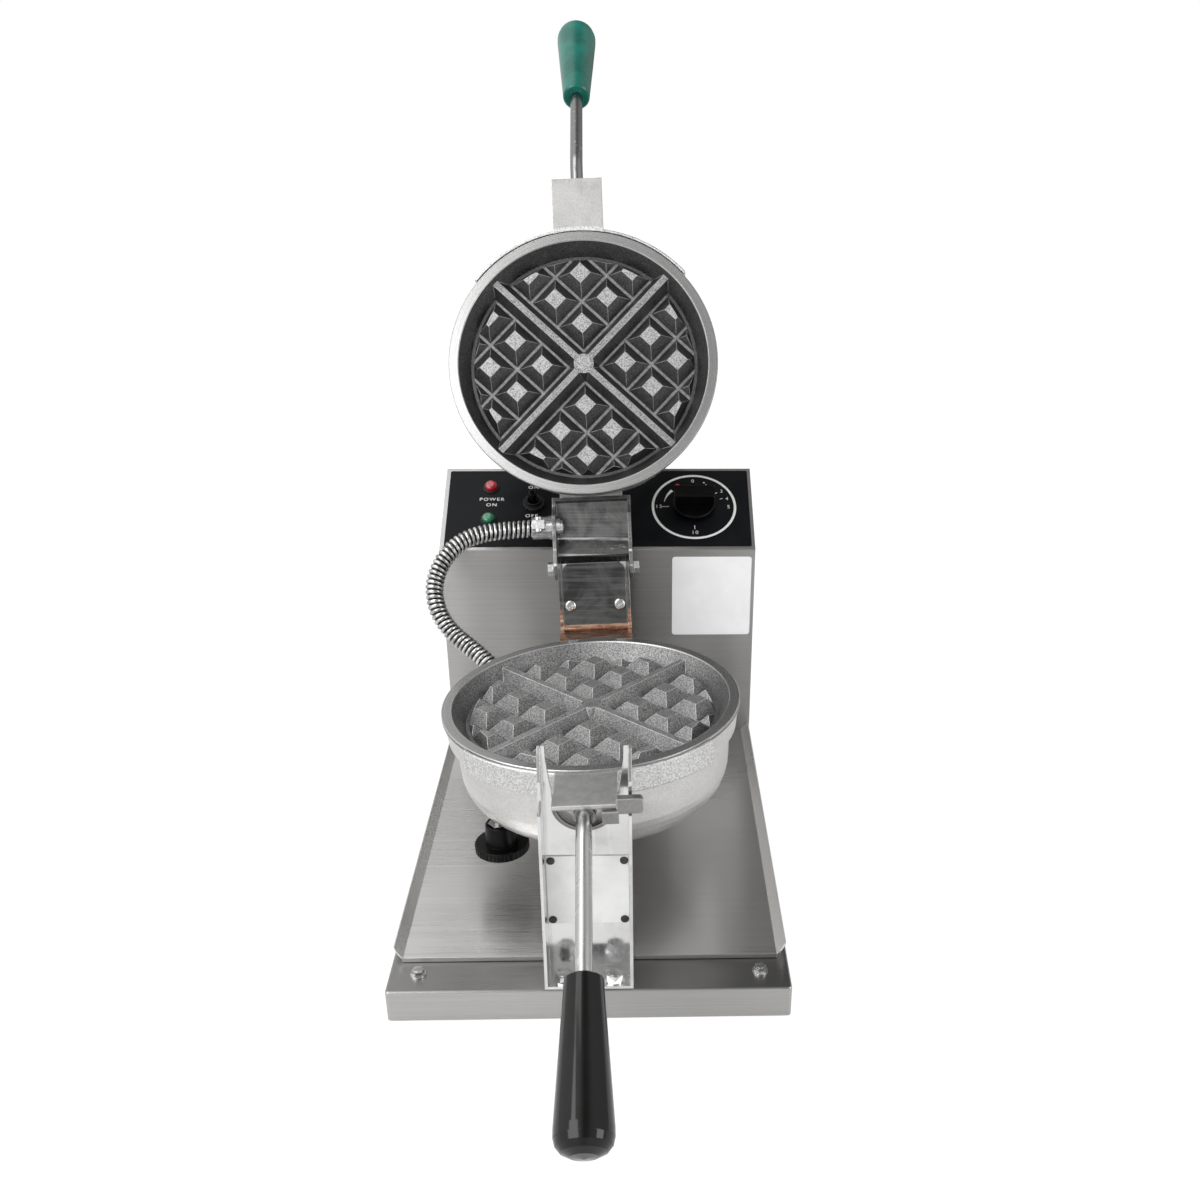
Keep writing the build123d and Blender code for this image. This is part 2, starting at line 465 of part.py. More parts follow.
# inner stiffening removed behind the neck: recess at its front face round the rod boss
rec = cy(NECK_R - 2.3, 0, 0, -NECK_END - 3, -NECK_END + 8) & box(-30, 30, -200, 0, -40, -3.2)
rec = rec - cy(6.6, 0, -ROD_Z - 0.6, -NECK_END - 4, -NECK_END + 9) - box(-2.0, 2.0, -NECK_END - 4, -NECK_END + 9, -20, -7)
case = case - rec
case = case - cy(ROD_R + 0.02, 0, -ROD_Z, -NECK_END - 4, -NECK_END + 32)
# thermostat hole and conduit entry
case = case - cz(5.1, KNOB_X, KNOB_Y, -CASE_H - 2, -CASE_H + 12)
ENTRY = ENTRY_AT * ENTRY_DIR
CASE_L = case + ((ENTRY * cz(9.8, 0, 0, -21, 0)) - hol)
CASE_L = CASE_L - ENTRY * cz(7.0, 0, 0, -6.3, 1) - ENTRY * cz(5.2, 0, 0, -28, 1)
CASE_L = one(CASE_L)
PADS = [(-15, -44.5), (15, -44.5)]
ARM_BOLT_Z = 51.9
for xx, zz in PADS:
    CASE_L = CASE_L - cy(2.55, xx, zz, 84, 96)
CASE_L = one(CASE_L)
# stop tab beside the neck on the lower half only
tab = box(19.5, 34.8, -NECK_END - 3.5, -NECK_END + 1.6, -5, 5)
tab = fillet([e for e in tab.edges().filter_by(Axis.Y) if e.center().X > 30], 2.4)
tab2 = box(10.5, 20.2, -NECK_END - 3.5, -NECK_END, -11.5, -3.6)
tabs = tab + tab2
tabs = one(tabs)

put("lower_grid_plate", GRID, PLACE_L)
put("lower_casing", CASE_L, PLACE_L)
put("upper_grid_plate", FLIP * GRID, PLACE_U)

# the lid half has its conduit entry at the flat back, inside the arm
case_u = case - cy(4.5, 0, -ARM_BOLT_Z, 84, 96)
for xx in (-15, 15):
    case_u = case_u - cy(2.55, xx, -ARM_BOLT_Z, 84, 96)
put("upper_casing", FLIP * one(case_u), PLACE_U)

# heating element pressed against the back of each plate
tor = Torus(58.0, 3.9)
tor = tor - box(-9, 9, 40, 70, -5, 5)
el = Pos(0, 0, -PLATE_BACK - 3.95) * tor
leg = cz(3.4, -13.5, 56.4, -PLATE_BACK - 14, -PLATE_BACK - 3.95) + cz(3.4, 13.5, 56.4, -PLATE_BACK - 14, -PLATE_BACK - 3.95)
ELEM = one(el + leg)
put("lower_heater", ELEM, PLACE_L)
put("upper_heater", FLIP * ELEM, PLACE_U)

# thermostat: body inside, threaded collar through the casing, slim shaft
th = box(KNOB_X - 1, KNOB_X + 23, KNOB_Y - 7, KNOB_Y + 15, -CASE_H + 12.5, -CASE_H + 27)
th = th + cz(5.05, KNOB_X, KNOB_Y, -CASE_H - 6.0, -CASE_H + 13.0)
th = th - cz(3.05, KNOB_X, KNOB_Y, -CASE_H - 8, -CASE_H + 16)
nutt = hexz(14, KNOB_X, KNOB_Y, -CASE_H - 3.2, -CASE_H, 10) - cz(5.07, KNOB_X, KNOB_Y, -CASE_H - 5, -CASE_H + 1)
shaft = cz(3.0, KNOB_X, KNOB_Y, -CASE_H - 20, -CASE_H + 15.5)
put("lower_thermostat", [one(th), one(nutt)], PLACE_L)
put("upper_thermostat", [FLIP * one(th), FLIP * one(nutt)], PLACE_U)
put("lower_thermostat_shaft", one(shaft), PLACE_L)
put("upper_thermostat_shaft", FLIP * one(shaft), PLACE_U)

# thermostat knob: scalloped disc with a tapered hub that reaches up round the nut
ztop, zbot = -85.2, -91.6
dk = cz(18.5, 0, 0, zbot, ztop)
dk = fillet(dk.edges().group_by(Axis.Z)[-1], 1.0)
dk = chamfer(dk.edges().group_by(Axis.Z)[0], 0.8)
for k in range(40):
    a = math.radians(9 * k)
    dk = dk - cz(0.75, 18.75 * math.cos(a), 18.75 * math.sin(a), zbot - 1, ztop + 1)
hub = Pos(0, 0, ztop - 0.4) * Cone(11.4, 9.9, 14.8, align=(Align.CENTER, Align.CENTER, Align.MIN))
hub = fillet(hub.edges().group_by(Axis.Z)[-1], 0.8)
dk = dk + hub - cz(3.03, 0, 0, -CASE_H - 20.2, -60) - cz(8.5, 0, 0, -74.0, -60) - cz(5.4, 0, 0, -77.0, -70)
KN = Pos(KNOB_X, KNOB_Y, 0) * one(dk)
put("lower_thermostat_knob", KN, PLACE_L)
put("upper_thermostat_knob", FLIP * KN, PLACE_U)

# handle rod: bent bar set into the neck, with a tapered grip
ha = math.radians(HANDLE_ANG)
p0 = (0, -NECK_END + 30, -ROD_Z)
p1 = (0, -NECK_END - ROD_STRAIGHT, -ROD_Z)
dirv = (0, -math.cos(ha), -math.sin(ha))
L2 = ROD_RUN + GRIP_L - 22
p2 = (0, p1[1] + dirv[1] * L2, p1[2] + dirv[2] * L2)
path = FilletPolyline(p0, p1, p2, radius=26)
rod = sweep(Plane(origin=p0, z_dir=(0, -1, 0)) * Circle(ROD_R), path=path)
ROD = one(rod)
GR = Pos(p1[0], p1[1] + dirv[1] * ROD_RUN, p1[2] + dirv[2] * ROD_RUN) * Rot(90 + HANDLE_ANG, 0, 0)
gface = make_face(Polyline((0, 0, 0), (9.6, 0, 0), (10.7, 0, 1.0), (11.1, 0, 7), (13.6, 0, 44), (15.9, 0, 80), (15.9, 0, 84.5), (14.9, 0, 88.6),
                           (12.2, 0, 91.9), (7.4, 0, 94.2), (0, 0, GRIP_L), close=True))
grip = revolve(gface, Axis.Z, 360) - cz(ROD_R + 0.02, 0, 0, -2, GRIP_L - 21)
GRIP = GR * one(grip)
put("lower_handle_rod", ROD, PLACE_L)
put("upper_handle_rod", FLIP * ROD, PLACE_U)
put("lower_grip", GRIP, PLACE_L)
put("upper_grip", FLIP * GRIP, PLACE_U)
put("stop_tab", tabs, PLACE_L)

# ---------------------------------------------------------------------------
# rear hinge bracket on the lower casing, with the hollow pivot shaft
# ---------------------------------------------------------------------------
BI, BO = 24.8, 27.3
Ay, Az, By, Bz = 125.0, -2.9, 140.4, 46.0
tl = math.hypot(By - Ay, Bz - Az)
nyv, nzv = (Bz - Az) / tl, -(By - Ay) / tl


def off(y, z, d):
    return (y + nyv * d, z + nzv * d)


sidep = [(95, -56), (95, -34.4), (103.9, -34.4), (103.9, -2.9), (Ay, Az), (By - 1.2, Bz - 3.8), (By + 0.6, Bz - 0.9), (By + 3.0, Bz), (150, 47.0), (156.4, 44.4),
         (159.0, 38), (157.2, 32.6), (146, 14), (146, -56)]
hb = yz_prism(sidep, -BO, -BI) + yz_prism(sidep, BI, BO)
hb = hb + box(-BO, BO, 95, 97.5, -56, -34.4)
hb = hb + box(-BO, BO, 95, 146, -56, -53.5)
hb = hb + box(-BO, BO, 103.9, 127, -5.4, -2.9)
hb = hb + box(-BO, BO, 143.5, 146, -56, 14)
My, Mz = Ay + (By - Ay) * 0.78, Az + (Bz - Az) * 0.78
w = [off(Ay, Az, 2.05), off(My, Mz, 2.05), off(My, Mz, 4.4), off(Ay, Az, 4.4)]
hb = hb + yz_prism([(w[0][0], w[0][1]), (w[1][0], w[1][1]), (w[2][0], w[2][1]), (w[3][0], w[3][1])], -BO, BO)
hb = hb - cy(12.52, 0, 0, 140, 150)
hb = hb - cx(4.02, HINGE_Y, HINGE_Z, -40, 40)
for xx, zz in PADS:
    hb = hb - cy(2.55, xx, zz, 90, 100)
# cover plate on the sloping front, two pan-head screws
CPL = Pos(0, Ay, Az) * Rot(math.degrees(math.atan2(Bz - Az, By - Ay)), 0, 0)   # local y up the slope, z outwards
CS = [(-18.6, 18.6), (19.0, 18.6)]
cp = box(-24.4, 24.4, 3.6, tl - 0.4, -2.0, 0)
cp = fillet([e for e in cp.edges().filter_by(Axis.Z) if e.center().Y > 20], 7.0)
for xx, yy in CS:
    cp = cp - cz(2.1, xx, yy, -4, 2)
    hb = hb - CPL * cz(2.1, xx, yy, -8, 2)
put("hinge_bracket", one(hb), PLACE_L)
put("hinge_cover_plate", CPL * one(cp), PLACE_L)
scr = []
for xx, yy in CS:
    h = cz(4.3, xx, yy, 0, 2.6)
    h = fillet(h.edges().group_by(Axis.Z)[-1], 1.7)
    h = h - Pos(xx, yy, 0) * Rot(0, 0, 25) * box(-2.6, 2.6, -0.5, 0.5, 1.5, 4) - Pos(xx, yy, 0) * Rot(0, 0, 115) * box(-2.6, 2.6, -0.5, 0.5, 1.5, 4)
    scr.append(one(h + cz(2.0, xx, yy, -9, 0.2)))
put("cover_plate_screws", [CPL * q for q in scr], PLACE_L)
cb = []
for xx, zz in PADS:
    cb.append(one(hexy(8, xx, zz, 97.5, 101.5) + cy(2.5, xx, zz, 86, 97.8)))
put("bracket_casing_bolts", cb, PLACE_L)

tube = cy(12.5, 0, 0, 138.4, 222) - cy(9.2, 0, 0, 130, 223)
put("pivot_shaft", one(tube), PLACE_L)
ln = [one(hexy(30, 0, 0, 139.0, 143.5) - cy(12.52, 0, 0, 130, 150)), one(hexy(34, 0, 0, 146, 153) - cy(12.52, 0, 0, 140, 160))]
put("shaft_locknuts", ln, PLACE_L)
col = cy(19.0, 0, 0, 209.2, 217) - cy(12.52, 0, 0, 205, 220)
put("shaft_collar", one(col), PLACE_L)

# hinge bolts: heads outside the lid arm, nuts inside the bracket
hbts, hn = [], []
for sx in (-1, 1):
    b = hexx(9.5, HINGE_Y, HINGE_Z, *(sorted((sx * 31.0, sx * 35.2)))) + cx(4.0, HINGE_Y, HINGE_Z, *sorted((sx * 19.4, sx * 31.2)))
    b = b + cx(5.6, HINGE_Y, HINGE_Z, *sorted((sx * 30.7, sx * 31.3)))
    hbts.append(one(b))
    hn.append(one(hexx(10, HINGE_Y, HINGE_Z, *sorted((sx * 20.6, sx * 24.8))) - cx(4.02, HINGE_Y, HINGE_Z, -40, 40)))
put("hinge_bolts", hbts + hn, PLACE_L)

# ---------------------------------------------------------------------------
# lid arm: channel over the hinge, drawn in the closed position
# ---------------------------------------------------------------------------
AI, AO = 27.8, 30.3
webp = [(95.0, 42.4), (124.5, 51.0), (138.2, 47.4), (147.0, 52.7), (145.8, 54.8), (138.0, 49.9), (124.6, 53.6), (95.0, 45.0)]
armside = [(95.0, 34.4), (95.0, 58.5), (97.5, 58.5), (99.5, 46.4), (124.6, 53.6), (138.0, 49.9), (145.8, 54.8), (147.0, 52.7), (153.5, 46.3), (156.4, 44.5), (159.0, 38),
           (156.4, 31.6), (150.0, 29.0), (140.0, 29.0), (110.0, 28.5), (102.5, 34.4)]
arm = yz_prism(webp, -AO, AO) + yz_prism(armside, -AO, -AI) + yz_prism(armside, AI, AO)
arm = arm + box(-AO, AO, 95.0, 97.5, 34.4, 58.5)
arm = arm - cx(4.06, HINGE_Y, HINGE_Z, -40, 40)
for xx in (-15, 15):
    arm = arm - cy(2.55, xx, ARM_BOLT_Z, 90, 100)
arm = arm - cy(4.5, 0, ARM_BOLT_Z, 90, 100)
CONN_Y, CONN_Z = 117.1, 40.0
arm = arm - cx(7.0, CONN_Y, CONN_Z, -40, -20)
put("lid_arm", one(arm), PLACE_U)
ab = []
for xx in (-15, 15):
    ab.append(one(hexy(8, xx, ARM_BOLT_Z, 97.5, 101.5) + cy(2.5, xx, ARM_BOLT_Z, 86, 97.8)))
put("arm_casing_bolts", ab, PLACE_U)

# conduit connectors: squeeze clamp on the lid arm, straight one in the lower casing
con = cx(9.2, CONN_Y, CONN_Z, -33.5, -30.3) + cx(8.6, CONN_Y, CONN_Z, -46.5, -33.0) + cx(6.95, CONN_Y, CONN_Z, -30.6, -22.5)
lug1 = box(-45.5, -36.0, CONN_Y - 3.5, CONN_Y + 3.5, CONN_Z - 13.6, CONN_Z + 13.6)
con = con + lug1
con = con - cx(CONDUIT_R + 0.05, CONN_Y, CONN_Z, -47, -33.6) - cx(5.4, CONN_Y, CONN_Z, -36, -20)
con = con - cy(1.7, -40.7, CONN_Z + 11.6, CONN_Y - 6, CONN_Y + 6) - cy(1.7, -40.7, CONN_Z - 11.6, CONN_Y - 6, CONN_Y + 6)
csc = []
for zz in (CONN_Z + 11.6, CONN_Z - 11.6):
    h = cy(3.0, -40.7, zz, CONN_Y - 5.8, CONN_Y - 3.5) + cy(1.65, -40.7, zz, CONN_Y - 3.8, CONN_Y + 5.0) + cy(3.0, -40.7, zz, CONN_Y + 3.5, CONN_Y + 5.6)
    csc.append(one(h))
put("connector_screws", csc, PLACE_U)
put("conduit_connector", [one(con), one(cx(8.3, CONN_Y, CONN_Z, -27.8, -24.4) - cx(6.97, CONN_Y, CONN_Z, -30, -20))], PLACE_U)
ft = cz(6.95, 0, 0, -6.0, 0.5) + hexz(18, 0, 0, 0, 4.6) + cz(8.7, 0, 0, 4.4, 11.5)
ft = ft - cz(CONDUIT_R + 0.05, 0, 0, 6.4, 14) - cz(5.2, 0, 0, -8, 8)
put("conduit_fitting", ENTRY * one(ft), PLACE_L)

# flexible conduit: its route with the lid open, from the lid connector round to the
# lower casing, in the coordinates of the iron
cstart = (Pos(0, HINGE_Y, HINGE_Z) * Rot(-OPEN, 0, 0) * Pos(0, -HINGE_Y, -HINGE_Z) * Pos(0, CONN_Y, CONN_Z)).position
p_in = (ENTRY * Pos(0, 0, 6.6)).position
p_out = (ENTRY * Pos(0, 0, 28.5)).position
ROUTE = [(-33.8, cstart.Y, cstart.Z), (-63.8, cstart.Y, cstart.Z), (-93.5, 158.5, 65.0), (-112.5, 145.0, 55.0), (-121.8, 131.0, 37.5),
         (-119.0, 118.0, 19.5), (-107.5, 108.0, 5.0), tuple(p_out), tuple(p_in)]
radii = []
for i in range(1, len(ROUTE) - 1):
    a, b, c = Vector(*ROUTE[i - 1]), Vector(*ROUTE[i]), Vector(*ROUTE[i + 1])
    turn = math.radians((b - a).get_angle(c - b))
    r = 0.45 * min((b - a).length, (c - b).length) / math.tan(turn / 2)
    radii.append(r)
print("conduit bend radii", [round(r, 1) for r in radii])
print("conduit runs", [round((Vector(*ROUTE[i + 1]) - Vector(*ROUTE[i])).length, 1) for i in range(len(ROUTE) - 1)])
cpath = FilletPolyline(*ROUTE, radius=radii)
c0 = Vector(*ROUTE[0])
c1 = Vector(*ROUTE[1])
sec = Plane(origin=c0, z_dir=(c1 - c0)) * (Circle(CONDUIT_R) - Circle(5.4))
con_tube = sweep(sec, path=cpath)
print("conduit length", round(cpath.length, 1), "volume", round(con_tube.volume, 1), "expected", round(cpath.length * math.pi * (CONDUIT_R ** 2 - 5.4 ** 2), 1))
put("flexible_conduit", one(con_tube), PLACE_L)

os.makedirs("parts", exist_ok=True)
for name, sol in NODES.items():
    shape = sol[0] if len(sol) == 1 else Compound(children=list(sol))
    export_step(shape, "parts/%s.step" % name)
print(len(NODES), "nodes")
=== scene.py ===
import bpy
import bmesh
import math
from mathutils import Matrix, Vector


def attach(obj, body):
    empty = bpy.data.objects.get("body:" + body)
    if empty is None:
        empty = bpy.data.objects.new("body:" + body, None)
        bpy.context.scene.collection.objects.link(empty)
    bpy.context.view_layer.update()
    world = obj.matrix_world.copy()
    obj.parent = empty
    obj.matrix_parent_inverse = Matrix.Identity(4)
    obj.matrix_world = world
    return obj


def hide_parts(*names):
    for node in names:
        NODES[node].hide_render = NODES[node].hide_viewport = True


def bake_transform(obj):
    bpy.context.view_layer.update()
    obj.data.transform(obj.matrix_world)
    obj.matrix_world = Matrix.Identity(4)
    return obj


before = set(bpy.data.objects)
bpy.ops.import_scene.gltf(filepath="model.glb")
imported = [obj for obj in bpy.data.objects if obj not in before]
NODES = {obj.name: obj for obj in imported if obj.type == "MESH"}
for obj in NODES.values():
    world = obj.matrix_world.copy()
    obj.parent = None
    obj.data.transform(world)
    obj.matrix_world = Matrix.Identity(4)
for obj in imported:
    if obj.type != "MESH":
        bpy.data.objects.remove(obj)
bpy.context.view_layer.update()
scene = bpy.context.scene
MM = 0.001
SHIFT = Vector((0.0, -228.5, 3.0))      # mm, from the drawing frame to the row frame

# ---------------------------------------------------------------- camera
yaw, pitch, roll = 0.03221, 0.46577, 0.00783
fwd = Vector((math.sin(yaw) * math.cos(pitch), math.cos(yaw) * math.cos(pitch), -math.sin(pitch)))
right = Vector((math.cos(yaw), -math.sin(yaw), 0))
upv = right.cross(fwd)
r2 = math.cos(roll) * right + math.sin(roll) * upv
u2 = -math.sin(roll) * right + math.cos(roll) * upv
cam_data = bpy.data.cameras.new("camera")
cam = bpy.data.objects.new("camera", cam_data)
scene.collection.objects.link(cam)
cam_data.sensor_width = 36.0
cam_data.sensor_fit = "AUTO"
cam_data.lens = 38.34
cam_data.shift_x = -0.0628
cam_data.shift_y = 0.0891
cam_data.clip_start = 0.05
cam_data.clip_end = 50
loc = (Vector((31.84, -632.87, 537.48)) + SHIFT) * MM
cam.matrix_world = Matrix(((r2.x, u2.x, -fwd.x, loc.x), (r2.y, u2.y, -fwd.y, loc.y), (r2.z, u2.z, -fwd.z, loc.z), (0, 0, 0, 1)))
scene.camera = cam

# ---------------------------------------------------------------- places in the row frame
ROLL = math.radians(2.3)
OPEN = math.radians(121.0)
HINGE = Vector((0, 150.0, 38.0))
PLACE_L = Matrix.Translation(Vector((-0.5, 150.8, 151.3)) + SHIFT) @ Matrix.Rotation(-ROLL, 4, "Y")
PLACE_U = PLACE_L @ Matrix.Translation(HINGE) @ Matrix.Rotation(-OPEN, 4, "X") @ Matrix.Translation(-HINGE)
SLOPE = math.atan2(233.3 - 188.6, 419.0 - 343.0)
PANEL = Matrix.Translation(Vector((0, 343.0, 188.6)) + SHIFT) @ Matrix.Rotation(SLOPE, 4, "X")
SC = Matrix.Scale(MM, 4)


def link(name, me):
    o = bpy.data.objects.new(name, me)
    scene.collection.objects.link(o)
    return o


# ---------------------------------------------------------------- node helpers
class T:
    """A material's node tree with short calls."""

    def __init__(self, name):
        self.mat = bpy.data.materials.new(name)
        self.mat.use_nodes = True
        self.t = self.mat.node_tree
        self.t.nodes.clear()
        self.out = self.t.nodes.new("ShaderNodeOutputMaterial")
        self.bsdf = self.t.nodes.new("ShaderNodeBsdfPrincipled")
        self.t.links.new(self.bsdf.outputs[0], self.out.inputs[0])
        self.tc = self.t.nodes.new("ShaderNodeTexCoord")

    def put(self, socket, v):
        if isinstance(v, bpy.types.NodeSocket):
            self.t.links.new(v, socket)
        elif isinstance(v, (tuple, list)) and len(v) == 3 and socket.type == "RGBA":
            socket.default_value = (*v, 1.0)
        else:
            socket.default_value = v

    def set(self, **k):
        for n, v in k.items():
            self.put(self.bsdf.inputs[n.replace("_", " ")], v)

    @property
    def obj(self):
        return self.tc.outputs["Object"]

    @property
    def onrm(self):
        return self.tc.outputs["Normal"]

    def mapping(self, vec, scale=(1, 1, 1), loc=(0, 0, 0), rot=(0, 0, 0)):
        n = self.t.nodes.new("ShaderNodeMapping")
        self.put(n.inputs["Vector"], vec)
        n.inputs["Scale"].default_value = scale
        n.inputs["Location"].default_value = loc
        n.inputs["Rotation"].default_value = rot
        return n.outputs[0]

    def noise(self, vec, scale=1.0, detail=3.0, rough=0.55, distort=0.0, color=False):
        n = self.t.nodes.new("ShaderNodeTexNoise")
        self.put(n.inputs["Vector"], vec)
        n.inputs["Scale"].default_value = scale
        n.inputs["Detail"].default_value = detail
        n.inputs["Roughness"].default_value = rough
        n.inputs["Distortion"].default_value = distort
        return n.outputs["Color" if color else 0]

    def voronoi(self, vec, scale, feature="F1", out="Distance"):
        n = self.t.nodes.new("ShaderNodeTexVoronoi")
        n.feature = feature
        self.put(n.inputs["Vector"], vec)
        n.inputs["Scale"].default_value = scale
        return n.outputs[out]

    def math(self, op, a, b=0.0, c=0.0, clamp=False):
        n = self.t.nodes.new("ShaderNodeMath")
        n.operation = op
        n.use_clamp = clamp
        self.put(n.inputs[0], a)
        self.put(n.inputs[1], b)
        self.put(n.inputs[2], c)
        return n.outputs[0]

    def dot(self, a, b):
        n = self.t.nodes.new("ShaderNodeVectorMath")
        n.operation = "DOT_PRODUCT"
        self.put(n.inputs[0], a)
        self.put(n.inputs[1], b)
        return n.outputs["Value"]

    def vmath(self, op, a, b=(0, 0, 0)):
        n = self.t.nodes.new("ShaderNodeVectorMath")
        n.operation = op
        self.put(n.inputs[0], a)
        self.put(n.inputs[1], b)
        return n.outputs["Value"] if op in ("LENGTH", "DISTANCE") else n.outputs["Vector"]

    def sep(self, v):
        n = self.t.nodes.new("ShaderNodeSeparateXYZ")
        self.put(n.inputs[0], v)
        return n.outputs

    def comb(self, x, y, z):
        n = self.t.nodes.new("ShaderNodeCombineXYZ")
        self.put(n.inputs[0], x)
        self.put(n.inputs[1], y)
        self.put(n.inputs[2], z)
        return n.outputs[0]

    def ramp(self, v, a, b, lo=0.0, hi=1.0, smooth=True):
        n = self.t.nodes.new("ShaderNodeMapRange")
        n.clamp = True
        n.interpolation_type = "SMOOTHSTEP" if smooth else "LINEAR"
        self.put(n.inputs["Value"], v)
        n.inputs["From Min"].default_value = a
        n.inputs["From Max"].default_value = b
        self.put(n.inputs["To Min"], lo)
        self.put(n.inputs["To Max"], hi)
        return n.outputs[0]

    def mix(self, f, a, b):
        n = self.t.nodes.new("ShaderNodeMix")
        n.data_type = "RGBA"
        n.clamp_factor = True
        self.put(n.inputs[0], f)
        self.put(n.inputs[6], a)
        self.put(n.inputs[7], b)
        return n.outputs[2]

    def bump(self, h, strength, distance, normal=None):
        n = self.t.nodes.new("ShaderNodeBump")
        n.inputs["Strength"].default_value = strength
        n.inputs["Distance"].default_value = distance
        self.put(n.inputs["Height"], h)
        if normal is not None:
            self.put(n.inputs["Normal"], normal)
        return n.outputs[0]

    def edge(self, radius, lo=0.02, hi=0.25):
        """0 on flats, 1 along edges, either way"""
        b = self.t.nodes.new("ShaderNodeBevel")
        b.samples = 6
        b.inputs["Radius"].default_value = radius
        g = self.t.nodes.new("ShaderNodeNewGeometry")
        d = self.dot(b.outputs[0], g.outputs["Normal"])
        return self.ramp(self.math("SUBTRACT", 1.0, d), lo, hi)

    def soft(self, radius):
        b = self.t.nodes.new("ShaderNodeBevel")
        b.samples = 4
        b.inputs["Radius"].default_value = radius
        return b.outputs[0]


def g(v):
    """grey or colour from screen values 0-255 to linear"""
    v = v if isinstance(v, (tuple, list)) else (v, v, v)
    return tuple(((c / 255 + 0.055) / 1.055) ** 2.4 if c > 10 else c / 255 / 12.92 for c in v)


def give(mat, *names):
    for n in names:
        o = NODES[n] if isinstance(n, str) else n
        o.data.materials.clear()
        o.data.materials.append(mat)
        for p in o.data.polygons:
            p.material_index = 0


# ---------------------------------------------------------------- metals
def brushed(name, col, rough, along="X", aniso=0.7, line=0.05, smudge=0.05, tint=(1.0, 0.99, 0.975), bumpy=0.05, bevel=0.0006, top=1.0):
    """sheet brushed in one direction: fine faint lines, highlights drawn out across them"""
    m = T(name)
    k = {"X": (9, 1500, 1500), "Y": (1500, 9, 1500), "Z": (1500, 1500, 9)}[along]
    fine = m.noise(m.mapping(m.obj, k), 1.0, 2.0, 0.6)
    k2 = tuple(v * 0.22 for v in k)
    wide = m.noise(m.mapping(m.obj, k2, loc=(3.1, 1.7, 0.4)), 1.0, 2.0, 0.6)
    cloud = m.noise(m.obj, 7.0, 3.0, 0.5)
    lines = m.math("ADD", m.math("MULTIPLY", fine, 0.72), m.math("MULTIPLY", wide, 0.28))
    base = tuple(c * t for c, t in zip(g(col), tint))
    dark = tuple(c * (1 - line * 1.6) for c in base)
    lite = tuple(min(1.0, c * (1 + line * 1.2)) for c in base)
    c1 = m.mix(m.ramp(lines, 0.30, 0.70), dark, lite)
    c2 = m.mix(m.ramp(cloud, 0.35, 0.7, 0.0, 0.35), c1, tuple(c * 0.90 for c in base))
    if top < 1.0:
        # painted shade: faces that point up are darkened by the factor top, so the flange that faces up reads darker
        # than the sides
        c2 = m.mix(m.ramp(m.sep(m.onrm)[2], 0.6, 0.9), c2, tuple(c * top for c in base))
    # painted highlight: edges are painted towards near white
    edge_glint = m.edge(0.0009, 0.03, 0.25)
    c2 = m.mix(m.math("MULTIPLY", edge_glint, 0.45), c2, g(235))
    r = m.math("ADD", m.ramp(lines, 0.3, 0.7, rough - 0.03, rough + 0.03), m.ramp(cloud, 0.35, 0.75, -smudge * 0.5, smudge))
    m.set(Base_Color=c2, Metallic=1.0, Roughness=r, Anisotropic=aniso)
    m.set(Normal=m.bump(lines, bumpy, 0.0001, m.soft(bevel)))
    gn = m.t.nodes.new("ShaderNodeNewGeometry")
    axis = {"X": (1, 0.004, 0.03), "Y": (0.004, 1, 0.03), "Z": (0.03, 0.004, 1)}[along]      # never quite along a face normal
    m.put(m.bsdf.inputs["Tangent"], m.vmath("NORMALIZE", m.vmath("CROSS_PRODUCT", gn.outputs["Normal"], axis)))
    return m.mat


def polished(name, col=200, rough=0.10, scuff=0.5):
    m = T(name)
    fine = m.noise(m.mapping(m.obj, (500, 500, 9)), 1.0, 3.0, 0.6)
    cloud = m.noise(m.obj, 26.0, 5.0, 0.6, 0.6)
    scratch = m.ramp(m.noise(m.mapping(m.obj, (240, 240, 24), rot=(0.2, 0.5, 0.1)), 1.0, 2.0, 0.5), 0.62, 0.70)
    base = g(col)
    c = m.mix(m.ramp(cloud, 0.45, 0.72, 0.0, scuff), base, tuple(v * 0.62 for v in base))
    c = m.mix(m.math("MULTIPLY", scratch, 0.35), c, g(235))
    r = m.math("ADD", m.ramp(cloud, 0.4, 0.75, rough, rough + 0.16), m.math("MULTIPLY", m.ramp(fine, 0.3, 0.7), 0.05))
    m.set(Base_Color=c, Metallic=1.0, Roughness=r)
    m.set(Normal=m.bump(fine, 0.04, 0.0002, m.soft(0.0006)))
    return m.mat


def plated(name, col=190, rough=0.16, yellow=0.0):
    m = T(name)
    cloud = m.noise(m.obj, 160.0, 4.0, 0.6)
    fine = m.noise(m.obj, 1400.0, 2.0, 0.5)
    base = tuple(c * t for c, t in zip(g(col), (1.0, 1.0 - 0.05 * yellow, 1.0 - 0.2 * yellow)))
    c = m.mix(m.ramp(cloud, 0.38, 0.66), tuple(v * 0.62 for v in base), base)
    m.set(Base_Color=c, Metallic=1.0, Roughness=m.ramp(cloud, 0.3, 0.7, rough + 0.12, rough))
    m.set(Normal=m.bump(fine, 0.10, 0.0001, m.soft(0.0004)))
    return m.mat


